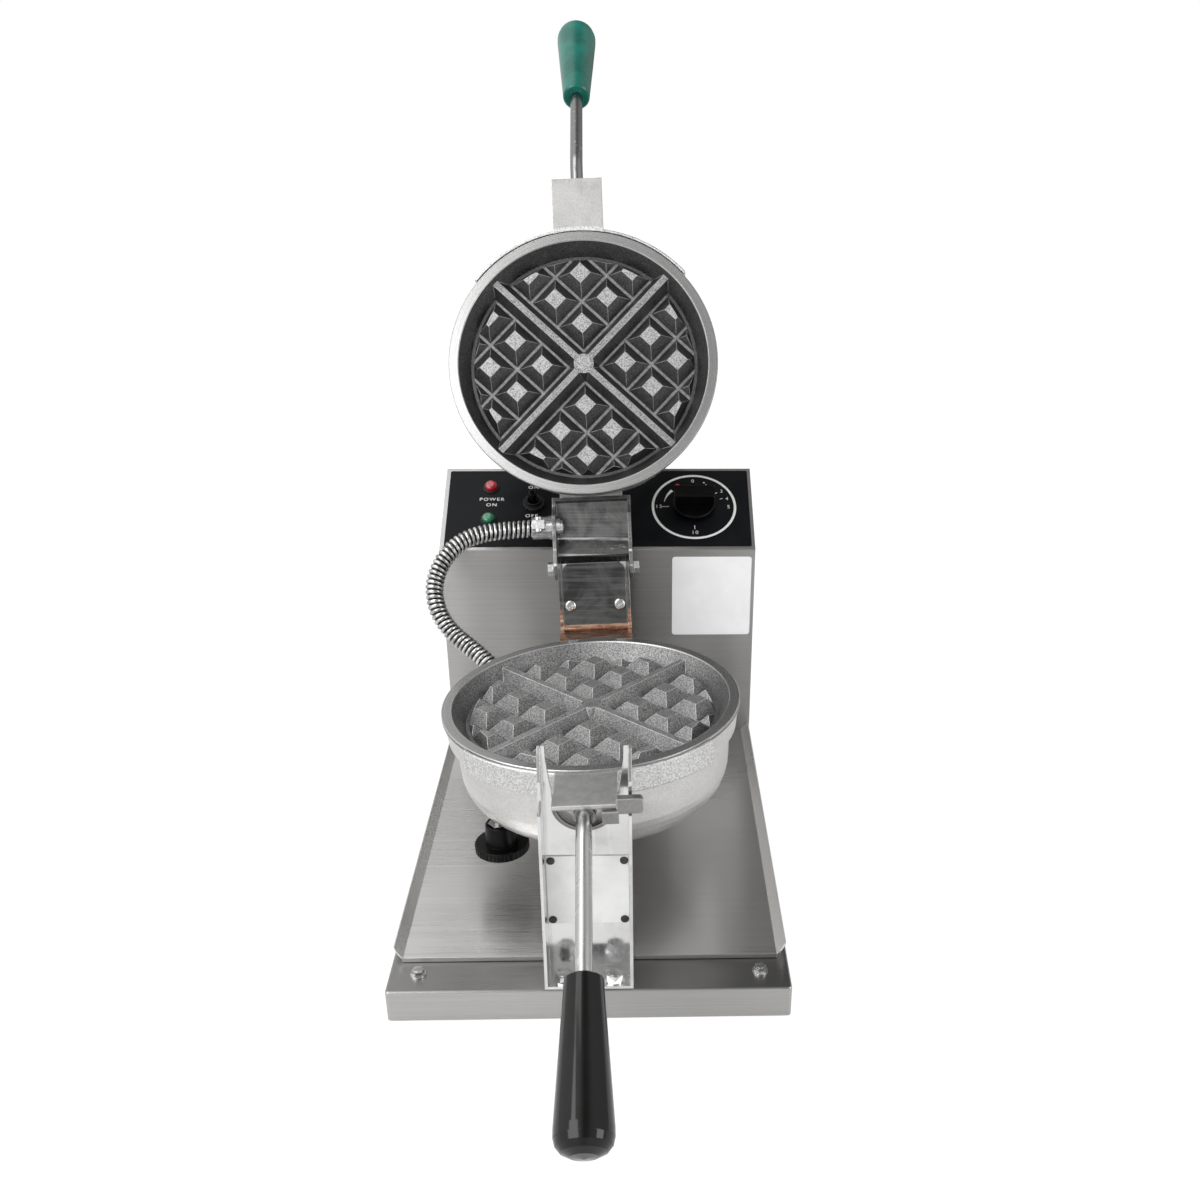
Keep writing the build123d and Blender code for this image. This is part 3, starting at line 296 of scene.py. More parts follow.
def darksteel(name, col=88, rust=False, scuffs=True):
    """heat darkened sheet: cloudy tone, rubbed lines, a few bright scuffs"""
    m = T(name)
    cloud = m.noise(m.obj, 34.0, 5.0, 0.62, 0.8)
    lines = m.noise(m.mapping(m.obj, (16, 500, 500)), 1.0, 3.0, 0.6)
    base = g(col)
    c = m.mix(m.ramp(cloud, 0.34, 0.66), tuple(v * 0.50 for v in base), tuple(min(1, v * 1.5) for v in base))
    c = m.mix(m.ramp(lines, 0.42, 0.70, 0.0, 0.30), c, g(min(255, col + 55)))
    rough = m.ramp(cloud, 0.32, 0.68, 0.42, 0.26)
    if scuffs:
        big = m.ramp(m.noise(m.obj, 62.0, 2.0, 0.5, 0.3), 0.60, 0.68)
        fine = m.ramp(m.noise(m.mapping(m.obj, (340, 900, 900), rot=(0, 0.5, 0)), 1.0, 4.0, 0.7), 0.48, 0.60)
        mark = m.math("MULTIPLY", big, fine)
        c = m.mix(m.math("MULTIPLY", mark, 0.85), c, g(215))
    m.set(Base_Color=c, Metallic=1.0, Roughness=rough)
    # painted highlight: edges are painted towards light grey
    edge_glint = m.edge(0.0010, 0.03, 0.22)
    c2 = m.mix(m.math("MULTIPLY", edge_glint, 0.55), c, g(205))
    m.set(Base_Color=c2)
    m.set(Normal=m.bump(lines, 0.06, 0.0002, m.soft(0.0007)))
    return m


def local_mm(m, place, sign):
    """x, y, z in millimetres in the drawing of one half, z negative into the mould"""
    inv = place.inverted()
    out = []
    for k in range(3):
        v = m.math("MULTIPLY", m.math("ADD", m.dot(m.obj, (inv[k][0], inv[k][1], inv[k][2])), inv[k][3] * MM), (sign if k == 2 else 1.0) * 1000.0)
        out.append(v)
    return out, Vector((inv[2][0], inv[2][1], inv[2][2]))


def plate_mat(name, place, sign, lo, mid, tops, cross, valley, line, spark, rimlo):
    """cast mould plate: grainy slopes, lighter flat tops, edges with a painted highlight, machined bright rim"""
    m = T(name)
    (lx, ly, lz), zrow = local_mm(m, place, sign)
    rad = m.math("SQRT", m.math("ADD", m.math("MULTIPLY", lx, lx), m.math("MULTIPLY", ly, ly)))
    facing = m.math("MULTIPLY", m.dot(m.onrm, tuple(zrow)), sign)
    flat = m.ramp(facing, 0.93, 0.985)
    grain = m.noise(m.obj, 950.0, 3.0, 0.75)
    grain2 = m.noise(m.obj, 480.0, 4.0, 0.65)
    fleck = m.ramp(m.voronoi(m.obj, 1250.0), 0.12, 0.34, 1.0, 0.0)
    cloud = m.noise(m.obj, 34.0, 3.0, 0.5)
    u = m.math("ABSOLUTE", m.math("MULTIPLY", m.math("ADD", lx, ly), 0.7071))
    v = m.math("ABSOLUTE", m.math("MULTIPLY", m.math("SUBTRACT", lx, ly), 0.7071))
    bar = m.math("MULTIPLY", m.ramp(m.math("MINIMUM", u, v), 4.2, 3.6), m.ramp(rad, 5.6, 6.6))
    lift = m.math("MULTIPLY", flat, m.math("MULTIPLY", m.ramp(lz, -6.0, -5.2), m.ramp(rad, 92.6, 92.0)))
    rim = m.math("MULTIPLY", m.ramp(rad, 93.9, 94.5), m.ramp(lz, -1.6, -0.9))
    low = m.math("MULTIPLY", flat, m.math("MULTIPLY", m.ramp(lz, -11.0, -12.0), m.ramp(rad, 84.5, 83.5)))
    body = m.mix(m.ramp(grain, 0.34, 0.66), g(lo), g(mid))
    body = m.mix(m.ramp(cloud, 0.35, 0.7, 0.0, 0.35), body, g(lo))
    body = m.mix(m.math("MULTIPLY", low, 0.75), body, m.mix(m.ramp(grain2, 0.35, 0.62), g(valley - 30), g(valley)))
    body = m.mix(m.math("MULTIPLY", fleck, spark), body, g(235))
    grit = m.ramp(grain, 0.36, 0.60)
    body = m.mix(m.math("MULTIPLY", lift, m.math("SUBTRACT", 1.0, bar)), body, m.mix(grit, g(tops - 48), g(min(250, tops + 24))))
    body = m.mix(m.math("MULTIPLY", lift, bar), body, m.mix(grit, g(cross - 45), g(min(250, cross + 25))))
    # painted highlight: upper edges are painted towards the line colour, so they read bright
    edge_glint = m.math("MULTIPLY", m.edge(0.0006, 0.02, 0.10), m.ramp(grain2, 0.28, 0.50, 0.45, 1.0))
    body = m.mix(m.math("MULTIPLY", edge_glint, m.ramp(lz, -12.2, -10.5, 0.0, 1.0)), body, g(line))
    ring = m.noise(m.comb(m.math("MULTIPLY", rad, 2.2), 0.0, 0.0), 1.0, 3.0, 0.6)
    body = m.mix(rim, body, m.mix(m.ramp(ring, 0.35, 0.65), g(rimlo), g(rimlo + 34)))
    rough = m.math("ADD", m.ramp(grain, 0.3, 0.7, 0.34, 0.58), m.math("MULTIPLY", fleck, -0.16))
    rough = m.math("ADD", m.math("MULTIPLY", rough, m.math("SUBTRACT", 1.0, rim)), m.math("MULTIPLY", rim, 0.26))
    # painted highlight: metallic drops along the upper edges so they stay bright from every side
    m.set(Base_Color=body, Metallic=m.math("SUBTRACT", 1.0, m.math("MULTIPLY", m.math("MULTIPLY", edge_glint, m.ramp(lz, -12.2, -10.5, 0.0, 1.0)), 0.7)), Roughness=rough)
    h = m.math("ADD", m.math("MULTIPLY", grain, 0.8), m.math("MULTIPLY", grain2, 0.5))
    h = m.math("MULTIPLY", h, m.math("SUBTRACT", 1.0, m.math("MULTIPLY", rim, 0.92)))
    m.set(Normal=m.bump(h, 0.5, 0.0008, m.soft(0.0006)))
    return m.mat


def cast(name, col, rough=0.42, place=None, sign=1.0, neck=False):
    """fine cast surface with soft edges and faint flow marks; the raised band is coarser"""
    m = T(name)
    grain = m.noise(m.obj, 900.0, 4.0, 0.65)
    mid = m.noise(m.obj, 120.0, 4.0, 0.6)
    cloud = m.noise(m.mapping(m.obj, (16, 16, 60)), 1.0, 3.0, 0.55)
    base = tuple(c * t for c, t in zip(g(col), (1.0, 0.99, 0.975)))
    c = m.mix(m.ramp(grain, 0.33, 0.67), tuple(v * 0.88 for v in base), tuple(min(1, v * 1.08) for v in base))
    c = m.mix(m.ramp(cloud, 0.40, 0.70, 0.0, 0.35), c, tuple(v * 0.74 for v in base))
    h = m.math("ADD", m.math("MULTIPLY", grain, 0.45), m.math("MULTIPLY", mid, 0.35))
    r = m.ramp(mid, 0.3, 0.7, rough - 0.06, rough + 0.10)
    if place is not None:
        (lx, ly, lz), zrow = local_mm(m, place, sign)
        rad = m.math("SQRT", m.math("ADD", m.math("MULTIPLY", lx, lx), m.math("MULTIPLY", ly, ly)))
        band = m.math("MULTIPLY", m.ramp(rad, 101.7, 102.2), m.ramp(rad, 105.6, 105.0))
        grit = m.noise(m.obj, 900.0, 4.0, 0.75)
        c = m.mix(band, c, m.mix(m.ramp(grit, 0.36, 0.62), g(168), g(224)))
        h = m.math("ADD", h, m.math("MULTIPLY", m.math("MULTIPLY", grit, band), 0.9))
        if neck:
            top = m.math("MULTIPLY", m.ramp(m.math("MULTIPLY", m.dot(m.onrm, tuple(zrow)), sign), 0.93, 0.98),
                         m.math("MULTIPLY", m.ramp(rad, 105.4, 105.8), m.ramp(lz, -2.0, -1.5)))
            c = m.mix(top, c, m.mix(m.ramp(mid, 0.35, 0.65), g(228), g(246)))
            # painted shade: the neck's front face just below the flat top is painted dark, as shade under the top's
            # front edge
            front = m.math("MULTIPLY", m.ramp(ly, -138.0, -139.5), m.ramp(lz, -2.0, -3.2))
            c = m.mix(m.math("MULTIPLY", front, 0.8), c, g(96))
            r = m.math("ADD", m.math("MULTIPLY", r, m.math("SUBTRACT", 1.0, top)), m.math("MULTIPLY", top, 0.30))
            h = m.math("MULTIPLY", h, m.math("SUBTRACT", 1.0, m.math("MULTIPLY", top, 0.9)))
    # painted highlight: edges are painted towards near white
    edge_glint = m.edge(0.0012, 0.04, 0.25)
    c = m.mix(m.math("MULTIPLY", edge_glint, 0.6), c, g(242))
    m.set(Base_Color=c, Metallic=1.0, Roughness=r)
    m.set(Normal=m.bump(h, 0.24, 0.0005, m.soft(0.0012)))
    return m.mat


def moulded(name, col, rough, coat=0.0, speck=0.02, hi=None, metallic=0.0, spec=0.5, vary=0.18):
    m = T(name)
    cloud = m.noise(m.obj, 45.0, 4.0, 0.6)
    fine = m.noise(m.obj, 1500.0, 2.0, 0.6)
    base = g(col)
    c = m.mix(m.ramp(cloud, 0.35, 0.68), tuple(v * (1 - vary) for v in base), hi and g(hi) or tuple(min(1, v * (1 + vary * 0.6) + 0.001) for v in base))
    m.set(Base_Color=c, Roughness=m.ramp(cloud, 0.3, 0.7, rough, rough + 0.07), Metallic=metallic)
    m.set(Coat_Weight=coat, Coat_Roughness=0.05, Specular_IOR_Level=spec)
    m.set(Normal=m.bump(fine, speck * 4, 0.0001, m.soft(0.0005)))
    return m


M = {}
M["steel_box"] = brushed("brushed_box", 176, 0.34, "X", 0.9)
# painted shade: top=0.58 darkens the up-facing flange of the base pan
M["steel_base"] = brushed("brushed_base", 180, 0.32, "X", 0.9, top=0.58)
M["steel_deck"] = brushed("brushed_deck", 214, 0.30, "X", 0.9, line=0.03, smudge=0.05, bumpy=0.03)
M["polished"] = polished("polished_bracket", 218, 0.10)
M["bolt"] = plated("bright_bolts", 228, 0.16)
M["rod"] = polished("handle_rod", 190, 0.17, 0.3)
M["rod_u"] = polished("lid_rod", 140, 0.20, 0.3)
M["shaft"] = plated("turned_shaft", 180, 0.22)
M["tab"] = cast("cut_tab", 150, 0.36)
M["lower_plate"] = plate_mat("cast_lower_plate", PLACE_L, 1.0, 80, 158, 162, 168, 120, 255, 0.42, 172)
M["upper_plate"] = plate_mat("cast_upper_plate", PLACE_U, -1.0, 62, 98, 158, 138, 142, 206, 0.12, 152)
M["casing"] = cast("cast_casing", 210, 0.40, PLACE_L, 1.0, True)
# painted shade: the lid casing is the same cast surface as the lower casing, set darker
M["casing_u"] = cast("cast_casing_lid", 186, 0.42, PLACE_U, -1.0)
M["housing"] = cast("cast_housing", 150, 0.5)
M["rubber"] = moulded("rubber", 26, 0.7, spec=0.3).mat
M["knob"] = moulded("black_knob", 4, 0.28, 0.0, spec=0.15).mat
M["black_body"] = moulded("black_body", 24, 0.45, spec=0.3).mat
M["black_grip"] = moulded("black_grip", 3, 0.09, 0.25, spec=0.25).mat
M["green_grip"] = moulded("green_grip", (4, 92, 80), 0.24, 0.25, hi=(9, 106, 94), spec=0.35).mat
M["overlay"] = moulded("panel_film", (13, 15, 18), 0.36, 0.0, 0.05, spec=0.12).mat
M["label"] = moulded("white_label", (240, 240, 242), 0.42, 0.0, 0.01, spec=0.3, vary=0.03).mat
M["plate"] = moulded("white_plate", (238, 238, 238), 0.36, 0.0, 0.01, spec=0.4, vary=0.06).mat
M["brass"] = plated("dull_brass", (190, 160, 92), 0.3)
M["heater"] = darksteel("heater_sheath", 100, scuffs=False).mat
M["timer_can"] = brushed("timer_can", 150, 0.4, "Z")
M["rivet"] = plated("dark_rivets", 84, 0.32)

arm = darksteel("arm_steel", 116)
az = arm.sep(arm.obj)[2]
# painted highlight: bright lines along the two fold lines of the arm
bend_highlight = arm.math("ADD", arm.math("MULTIPLY", arm.ramp(az, 206.0 * MM, 206.9 * MM), arm.ramp(az, 208.4 * MM, 207.5 * MM)),
                arm.math("MULTIPLY", arm.ramp(az, 195.9 * MM, 196.6 * MM), arm.ramp(az, 198.2 * MM, 197.4 * MM)))
bend_highlight = arm.math("MULTIPLY", bend_highlight, arm.ramp(arm.noise(arm.mapping(arm.obj, (90, 20, 20)), 1.0, 3.0, 0.6), 0.30, 0.55, 0.35, 0.95))
arm.set(Base_Color=arm.mix(bend_highlight, arm.bsdf.inputs["Base Color"].links[0].from_socket, g(222)))
M["arm"] = arm.mat
br = darksteel("hinge_steel", 96, scuffs=False)
# brown heat stain on the flat top of the bracket, next to the casing
co = br.sep(br.obj)
stain = br.math("MULTIPLY", br.ramp(co[1], 53.0 * MM, 50.0 * MM), br.ramp(co[2], 149.6 * MM, 150.9 * MM))
wave = br.noise(br.mapping(br.obj, (60, 420, 420)), 1.0, 4.0, 0.65)
brown = br.mix(br.ramp(wave, 0.36, 0.64), g((150, 104, 84)), g((224, 190, 166)))
old = br.bsdf.inputs["Base Color"].links[0].from_socket
br.set(Base_Color=br.mix(stain, old, brown))
M["hinge"] = br.mat
cv = darksteel("cover_steel", 88, scuffs=False)
M["cover"] = cv.mat


def lens(name, col, glow):
    m = T(name)
    cell = m.voronoi(m.obj, 900.0)
    c = m.mix(m.ramp(cell, 0.1, 0.6), g(col), tuple(v * 0.45 for v in g(col)))
    m.set(Base_Color=c, Roughness=m.ramp(cell, 0.0, 0.8, 0.10, 0.22), Coat_Weight=0.8, Coat_Roughness=0.04)
    m.set(Transmission_Weight=0.25, IOR=1.5)
    m.set(Emission_Color=g(col), Emission_Strength=glow)
    m.set(Normal=m.bump(cell, 0.25, 0.0003))
    return m.mat


M["red"] = lens("red_lens", (196, 22, 44), 0.10)
M["green"] = lens("green_lens", (12, 140, 96), 0.05)

give(M["steel_box"], "control_box_shell", "box_back_cover")
give(M["steel_base"], "base_pan")
give(M["steel_deck"], "drip_deck")
give(M["rubber"], "rubber_feet")
give(M["polished"], "front_bracket")
give(M["bolt"], "deck_bolts", "bracket_bolts", "box_bolts", "back_cover_screws", "cover_plate_screws", "bracket_casing_bolts", "arm_casing_bolts",
     "hinge_bolts", "shaft_locknuts", "connector_screws", "conduit_connector", "conduit_fitting", "bearing_screws")
give(M["tab"], "stop_tab")
give(M["shaft"], "pivot_shaft", "shaft_collar", "timer_shaft", "lower_thermostat_shaft", "upper_thermostat_shaft", "lower_thermostat", "upper_thermostat")
give(M["rod"], "lower_handle_rod")
give(M["rod_u"], "upper_handle_rod")
give(M["lower_plate"], "lower_grid_plate")
give(M["upper_plate"], "upper_grid_plate")
give(M["casing"], "lower_casing")
give(M["casing_u"], "upper_casing")
give(M["housing"], "bearing_housing")
give(M["brass"], "pivot_bush")
give(M["heater"], "lower_heater", "upper_heater")
give(M["black_grip"], "lower_grip")
give(M["green_grip"], "upper_grip")
give(M["knob"], "timer_knob", "power_toggle", "lower_thermostat_knob", "upper_thermostat_knob")
give(M["black_body"], "cord_gland", "lamp_holders", "switch_body", "terminal_block", "switch_nut")
give(M["timer_can"], "timer_body")
give(M["overlay"], "panel_overlay")
give(M["label"], "blank_label")
give(M["plate"], "bracket_plate")
give(M["rivet"], "plate_rivets")
give(M["red"], "red_lamp_lens")
give(M["green"], "green_lamp_lens")
give(M["arm"], "lid_arm")
give(M["hinge"], "hinge_bracket")
give(M["cover"], "hinge_cover_plate")

# ---------------------------------------------------------------- flexible conduit
CONN = Vector((0, 117.1, 40.0))
c0 = Matrix.Translation(HINGE) @ Matrix.Rotation(-OPEN, 4, "X") @ Matrix.Translation(-HINGE) @ CONN
ENT = Matrix.Translation(Vector((106.0 * math.cos(math.radians(131.3)), 106.0 * math.sin(math.radians(131.3)), -19.0))) @ \
    Matrix.Rotation(math.radians(139.5), 4, "Z") @ Matrix.Rotation(math.radians(90 - 28.0), 4, "Y")
route = [(-33.8, c0.y, c0.z), (-63.8, c0.y, c0.z), (-93.5, 158.5, 65.0), (-112.5, 145.0, 55.0), (-121.8, 131.0, 37.5),
         (-119.0, 118.0, 19.5), (-107.5, 108.0, 5.0), tuple(ENT @ Vector((0, 0, 28.5))), tuple(ENT @ Vector((0, 0, 6.6)))]
route = [(PLACE_L @ Vector(p)) * MM for p in route]
cu = bpy.data.curves.new("conduit_line", "CURVE")
cu.dimensions = "3D"
sp = cu.splines.new("NURBS")
sp.points.add(len(route) - 1)
for p, q in zip(sp.points, route):
    p.co = (*q, 1.0)
sp.order_u = 3
sp.use_endpoint_u = True
sp.resolution_u = 24
line_obj = bpy.data.objects.new("conduit_line", cu)
scene.collection.objects.link(line_obj)
bpy.context.view_layer.update()
dg = bpy.context.evaluated_depsgraph_get()
tmp = bpy.data.meshes.new_from_object(line_obj.evaluated_get(dg))
pts = [v.co.copy() for v in tmp.vertices]
bpy.data.objects.remove(line_obj)


def walk(points, step):
    """points at even distance along a polyline"""
    acc = [0.0]
    for a, b in zip(points, points[1:]):
        acc.append(acc[-1] + (b - a).length)
    n = max(2, int(round(acc[-1] / step)))
    out, j = [], 0
    for i in range(n + 1):
        s = acc[-1] * i / n
        while j < len(acc) - 2 and acc[j + 1] < s:
            j += 1
        d = acc[j + 1] - acc[j]
        out.append(points[j].lerp(points[j + 1], 0 if d < 1e-12 else (s - acc[j]) / d))
    return out, acc[-1]


PITCH = 3.75 * MM
cl, clen = walk(pts, PITCH / 12)
SEG = 40
bm = bmesh.new()
painted_shade_layer = bm.verts.layers.float.new("painted_groove_shade")
rings = []
tprev = (cl[1] - cl[0]).normalized()
nrm = tprev.orthogonal().normalized()
for i, p in enumerate(cl):
    tn = (cl[min(i + 1, len(cl) - 1)] - cl[max(i - 1, 0)]).normalized()
    ax = tprev.cross(tn)
    if ax.length > 1e-9:
        nrm = Matrix.Rotation(tprev.angle(tn), 3, ax.normalized()) @ nrm
    tprev = tn
    bn = tn.cross(nrm)
    s = clen * i / (len(cl) - 1)
    ring = []
    for k in range(SEG):
        a = 2 * math.pi * k / SEG
        u = (s / PITCH + k / SEG) % 1.0
        w = math.sin(math.pi * min(1.0, u / 0.80)) if u < 0.80 else 0.0
        w = w ** 0.5 if w > 0 else 0.0
        r = (5.35 + 1.55 * w) * MM
        vt = bm.verts.new(p + (nrm * math.cos(a) + bn * math.sin(a)) * r)
        # painted shade mask: 1 in the grooves, 0 on the crests
        vt[painted_shade_layer] = 1.0 - w
        ring.append(vt)
    rings.append(ring)
for ra, rb in zip(rings, rings[1:]):
    for k in range(SEG):
        bm.faces.new((ra[k], ra[(k + 1) % SEG], rb[(k + 1) % SEG], rb[k]))
bm.faces.new(list(reversed(rings[0])))
bm.faces.new(rings[-1])
bm.normal_update()
me = bpy.data.meshes.new("conduit")
bm.to_mesh(me)
bm.free()
for p in me.polygons:
    p.use_smooth = True
conduit = link("conduit", me)
cm = T("conduit_metal")
cn = cm.noise(cm.obj, 220.0, 4.0, 0.6)
cc = cm.mix(cm.ramp(cn, 0.34, 0.66), g(150), g(220))
at = cm.t.nodes.new("ShaderNodeAttribute")
at.attribute_name = "painted_groove_shade"
# painted shade: the grooves between the rings are painted dark
cc = cm.mix(cm.ramp(at.outputs["Fac"], 0.20, 0.90), cc, g(42))
cm.set(Base_Color=cc, Metallic=1.0, Roughness=cm.ramp(cn, 0.3, 0.7, 0.26, 0.15))
cm.set(Normal=cm.bump(cn, 0.08, 0.0002))
give(cm.mat, conduit)
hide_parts("flexible_conduit")
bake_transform(conduit)

# ---------------------------------------------------------------- printed marks on the panel
ink = moulded("white_print", (238, 238, 236), 0.45, 0.0).mat
LIFT = 0.60


def on_panel(name, me, body="base"):
    o = link(name, me)
    o.matrix_world = PANEL @ SC
    me.materials.append(ink)
    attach(o, body)
    return o


# the matrices above are in mm for the placing part, so scale the translation too
PANEL.translation = PANEL.translation * MM


def flat_mesh(name, loops, z0=LIFT, z1=LIFT + 0.03):
    """closed outlines in panel millimetres raised a hair above the film"""
    b = bmesh.new()
    for lp in loops:
        top = [b.verts.new((x, y, z1)) for x, y in lp]
        bot = [b.verts.new((x, y, z0)) for x, y in lp]
        b.faces.new(top)
        b.faces.new(list(reversed(bot)))
        n = len(lp)
        for i in range(n):
            b.faces.new((bot[i], bot[(i + 1) % n], top[(i + 1) % n], top[i]))
    b.normal_update()
    me_ = bpy.data.meshes.new(name)
    b.to_mesh(me_)
    b.free()
    return me_


def arc_band(cx, cy, r0, r1, a0, a1, n, taper=False):
    """loops of short quads along an arc; angles in degrees from +x, anticlockwise"""
    loops = []
    for i in range(n):
        u, v = i / n, (i + 1) / n
        au, av = math.radians(a0 + (a1 - a0) * u), math.radians(a0 + (a1 - a0) * v)
        if taper:
            mid = (r0 + r1) / 2
            hu, hv = (r1 - r0) / 2 * (0.12 + 0.88 * u), (r1 - r0) / 2 * (0.12 + 0.88 * v)
            ru0, ru1, rv0, rv1 = mid - hu, mid + hu, mid - hv, mid + hv
        else:
            ru0 = rv0 = r0
            ru1 = rv1 = r1
        q = [(cx + ru0 * math.cos(au), cy + ru0 * math.sin(au)), (cx + ru1 * math.cos(au), cy + ru1 * math.sin(au)),
             (cx + rv1 * math.cos(av), cy + rv1 * math.sin(av)), (cx + rv0 * math.cos(av), cy + rv0 * math.sin(av))]
        area = sum(q[k][0] * q[(k + 1) % 4][1] - q[(k + 1) % 4][0] * q[k][1] for k in range(4))
        loops.append(q if area > 0 else list(reversed(q)))
    return loops


def bar(x0, y0, x1, y1, w):
    d = Vector((x1 - x0, y1 - y0)).normalized()
    n = Vector((-d.y, d.x)) * w / 2
    return [(x0 - n.x, y0 - n.y), (x1 - n.x, y1 - n.y), (x1 + n.x, y1 + n.y), (x0 + n.x, y0 + n.y)]


DX, DS = 78.6, 45.3
on_panel("dial_ring", flat_mesh("dial_ring", arc_band(DX, DS, 32.8, 34.9, 0, 360, 96)))
ticks = []
for ang, r0, r1 in ((90, 0, 0), (-90, 20.5, 24.5), (180, 20.5, 26.5), (66, 24.5, 27.0), (38, 22.5, 25.0), (20, 23.0, 25.5)):
    if r1 > r0:
        a = math.radians(ang)
        ticks.append(bar(DX + r0 * math.cos(a), DS + r0 * math.sin(a), DX + r1 * math.cos(a), DS + r1 * math.sin(a), 0.6))
on_panel("dial_ticks", flat_mesh("dial_ticks", ticks))
on_panel("dial_arrow", flat_mesh("dial_arrow", arc_band(DX, DS, 23.6, 26.4, 168, 135, 18, True)))


def words(name, text, x, s, size, squeeze=1.0):
    c = bpy.data.curves.new(name, "FONT")
    c.body = text
    c.size = size
    c.align_x = "CENTER"
    c.align_y = "CENTER"
    c.extrude = 0.015
    c.space_character = 1.25
    c.materials.append(ink)
    o = link(name, c)
    o.matrix_world = PANEL @ SC @ Matrix.Translation((x, s, LIFT + 0.017)) @ Matrix.Diagonal((squeeze, 1, 1, 1))
    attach(o, "base")
    return o


words("word_power", "POWER", -87.8, 53.4, 4.6, 1.12)
words("word_on_lamp", "ON", -87.8, 47.4, 4.6, 1.12)
words("word_off", "OFF", -54.6, 35.4, 4.6, 1.12)
words("word_on", "ON", -54.0, 66.5, 4.6, 1.12)
for nm, tx, x, s in (("num_0", "0", 78.3, 73.3), ("num_3", "3", 101.8, 61.8), ("num_4", "4", 106.1, 53.6), ("num_5", "5", 107.1, 44.7),
                     ("num_10", "10", 78.6, 17.2), ("num_15", "15", 49.6, 45.3)):
    words(nm, tx, x, s, 5.0)

# dots of the dial, and the red one at its start
red_ink = moulded("red_print", (206, 44, 52), 0.45, 0.0).mat


def spot(name, x, s_, r, mat_=None):
    loop = [(x + r * math.cos(2 * math.pi * k / 20), s_ + r * math.sin(2 * math.pi * k / 20)) for k in range(20)]
    o = on_panel(name, flat_mesh(name, [loop]))
    if mat_ is not None:
        o.data.materials.clear()
        o.data.materials.append(mat_)
    return o


spot("dot_start", 65.5, 68.6, 1.8, red_ink)
spot("dot_one", 87.6, 71.6, 0.75)
spot("dot_two", 95.6, 67.6, 0.75)

# ---------------------------------------------------------------- stage
fl = bmesh.new()
bmesh.ops.create_grid(fl, x_segments=1, y_segments=1, size=8.0)
fme = bpy.data.meshes.new("floor")
fl.to_mesh(fme)
fl.free()
floor = link("floor", fme)
floor.location = (0, 0, -0.0002)
fm = bpy.data.materials.new("floor_pale")
fm.use_nodes = True
ft = fm.node_tree
ft.nodes.clear()
fo = ft.nodes.new("ShaderNodeOutputMaterial")
mx = ft.nodes.new("ShaderNodeAddShader")
df = ft.nodes.new("ShaderNodeBsdfDiffuse")
em = ft.nodes.new("ShaderNodeEmission")
df2 = ft.nodes.new("ShaderNodeBsdfDiffuse")
fmix = ft.nodes.new("ShaderNodeMixShader")
flp = ft.nodes.new("ShaderNodeLightPath")
df.inputs[0].default_value = (0.12, 0.12, 0.12, 1)
df2.inputs[0].default_value = (0.80, 0.80, 0.80, 1)
em.inputs[0].default_value = (1, 1, 1, 1)
em.inputs[1].default_value = 0.97
ft.links.new(df.outputs[0], mx.inputs[0])
ft.links.new(em.outputs[0], mx.inputs[1])
ft.links.new(flp.outputs["Is Camera Ray"], fmix.inputs[0])
ft.links.new(df2.outputs[0], fmix.inputs[1])
ft.links.new(mx.outputs[0], fmix.inputs[2])
ft.links.new(fmix.outputs[0], fo.inputs[0])
fme.materials.append(fm)

world = bpy.data.worlds.new("studio")
scene.world = world
world.use_nodes = True
wt = world.node_tree
wt.nodes.clear()
wo = wt.nodes.new("ShaderNodeOutputWorld")
bgc = wt.nodes.new("ShaderNodeBackground")
bgl = wt.nodes.new("ShaderNodeBackground")
mixw = wt.nodes.new("ShaderNodeMixShader")
lp = wt.nodes.new("ShaderNodeLightPath")
tcw = wt.nodes.new("ShaderNodeTexCoord")
sepw = wt.nodes.new("ShaderNodeSeparateXYZ")
wt.links.new(tcw.outputs["Generated"], sepw.inputs[0])


def wmap(v, a, b, lo, hi):
    n = wt.nodes.new("ShaderNodeMapRange")
    n.interpolation_type = "SMOOTHSTEP"
    wt.links.new(v, n.inputs["Value"])
    for k, q in (("From Min", a), ("From Max", b), ("To Min", lo), ("To Max", hi)):
        n.inputs[k].default_value = q
    return n.outputs[0]


def wmul(a, b):
    n = wt.nodes.new("ShaderNodeMath")
    n.operation = "MULTIPLY"
    for i, q in enumerate((a, b)):
        if isinstance(q, bpy.types.NodeSocket):
            wt.links.new(q, n.inputs[i])
        else:
            n.inputs[i].default_value = q
    return n.outputs[0]


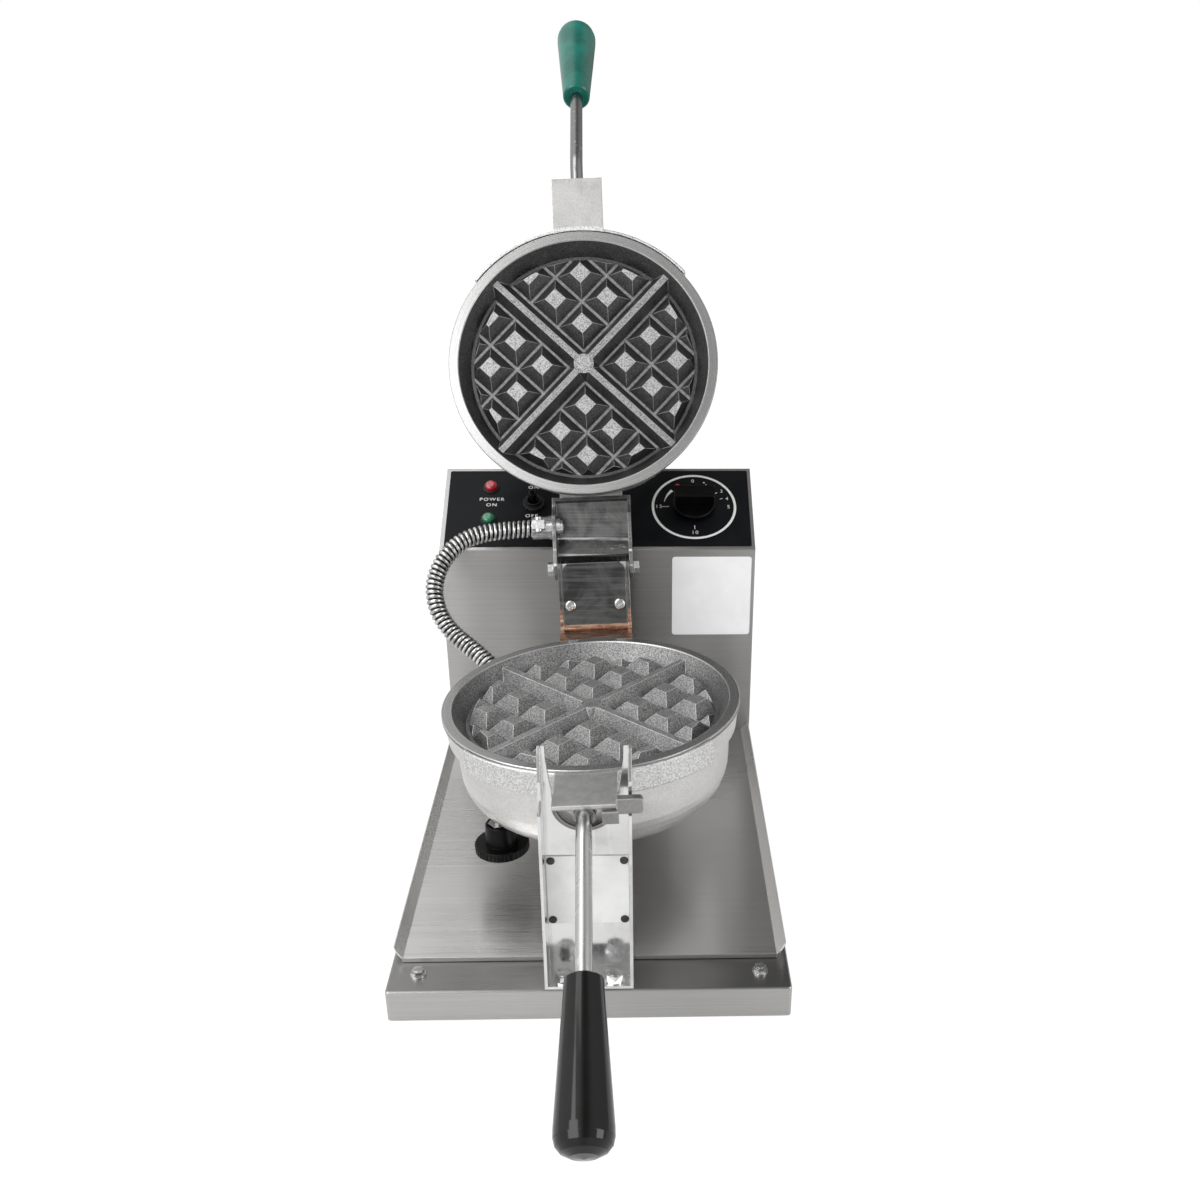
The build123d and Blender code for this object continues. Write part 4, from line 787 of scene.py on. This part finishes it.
def wadd(a, b):
    n = wt.nodes.new("ShaderNodeMath")
    n.operation = "ADD"
    wt.links.new(a, n.inputs[0])
    wt.links.new(b, n.inputs[1])
    return n.outputs[0]


# bright on the left, darker on the right, and darkest behind on the right
side = wadd(wmap(sepw.outputs[0], -0.35, 0.08, 1.50, 0.42), wmap(sepw.outputs[0], 0.15, 0.60, 0.0, 0.55))
high = wmap(sepw.outputs[2], -0.05, 0.75, 0.85, 1.0)
rear = wmap(sepw.outputs[1], 0.05, 0.70, 0.0, 1.0)
front = wmap(sepw.outputs[1], 0.05, 0.70, 1.0, 0.0)
rear_level = wadd(wmap(sepw.outputs[0], -0.35, 0.05, 1.05, 0.18), wmap(sepw.outputs[0], 0.15, 0.60, 0.0, 0.40))
level = wmul(wadd(wmul(side, front), wmul(rear_level, rear)), high)
bgc.inputs[1].default_value = 1.0
bgc.inputs[0].default_value = (1, 1, 1, 1)
bgl.inputs[0].default_value = (1.0, 0.995, 0.985, 1)
wt.links.new(wmul(level, 0.85), bgl.inputs[1])
wt.links.new(lp.outputs["Is Camera Ray"], mixw.inputs[0])
wt.links.new(bgl.outputs[0], mixw.inputs[1])
wt.links.new(bgc.outputs[0], mixw.inputs[2])
wt.links.new(mixw.outputs[0], wo.inputs[0])


def area(name, at, to, size, power, col=(1, 1, 1)):
    d = bpy.data.lights.new(name, "AREA")
    d.shape = "RECTANGLE"
    d.size, d.size_y = size
    d.energy = power
    d.color = col
    o = bpy.data.objects.new(name, d)
    scene.collection.objects.link(o)
    o.location = at
    o.rotation_mode = "QUATERNION"
    o.rotation_quaternion = (Vector(to) - Vector(at)).to_track_quat("-Z", "Y")
    return o


area("key", (-1.2, -1.1, 1.5), (0, 0, 0.15), (1.6, 1.6), 24)
area("top", (-0.7, 0.2, 1.9), (0, 0, 0.1), (1.0, 1.0), 6)
area("fill", (1.5, -0.9, 0.7), (0, 0, 0.15), (0.6, 1.2), 8)

scene.view_settings.view_transform = "Standard"
scene.view_settings.look = "None"
scene.view_settings.exposure = 0.0
scene.view_settings.gamma = 1.0
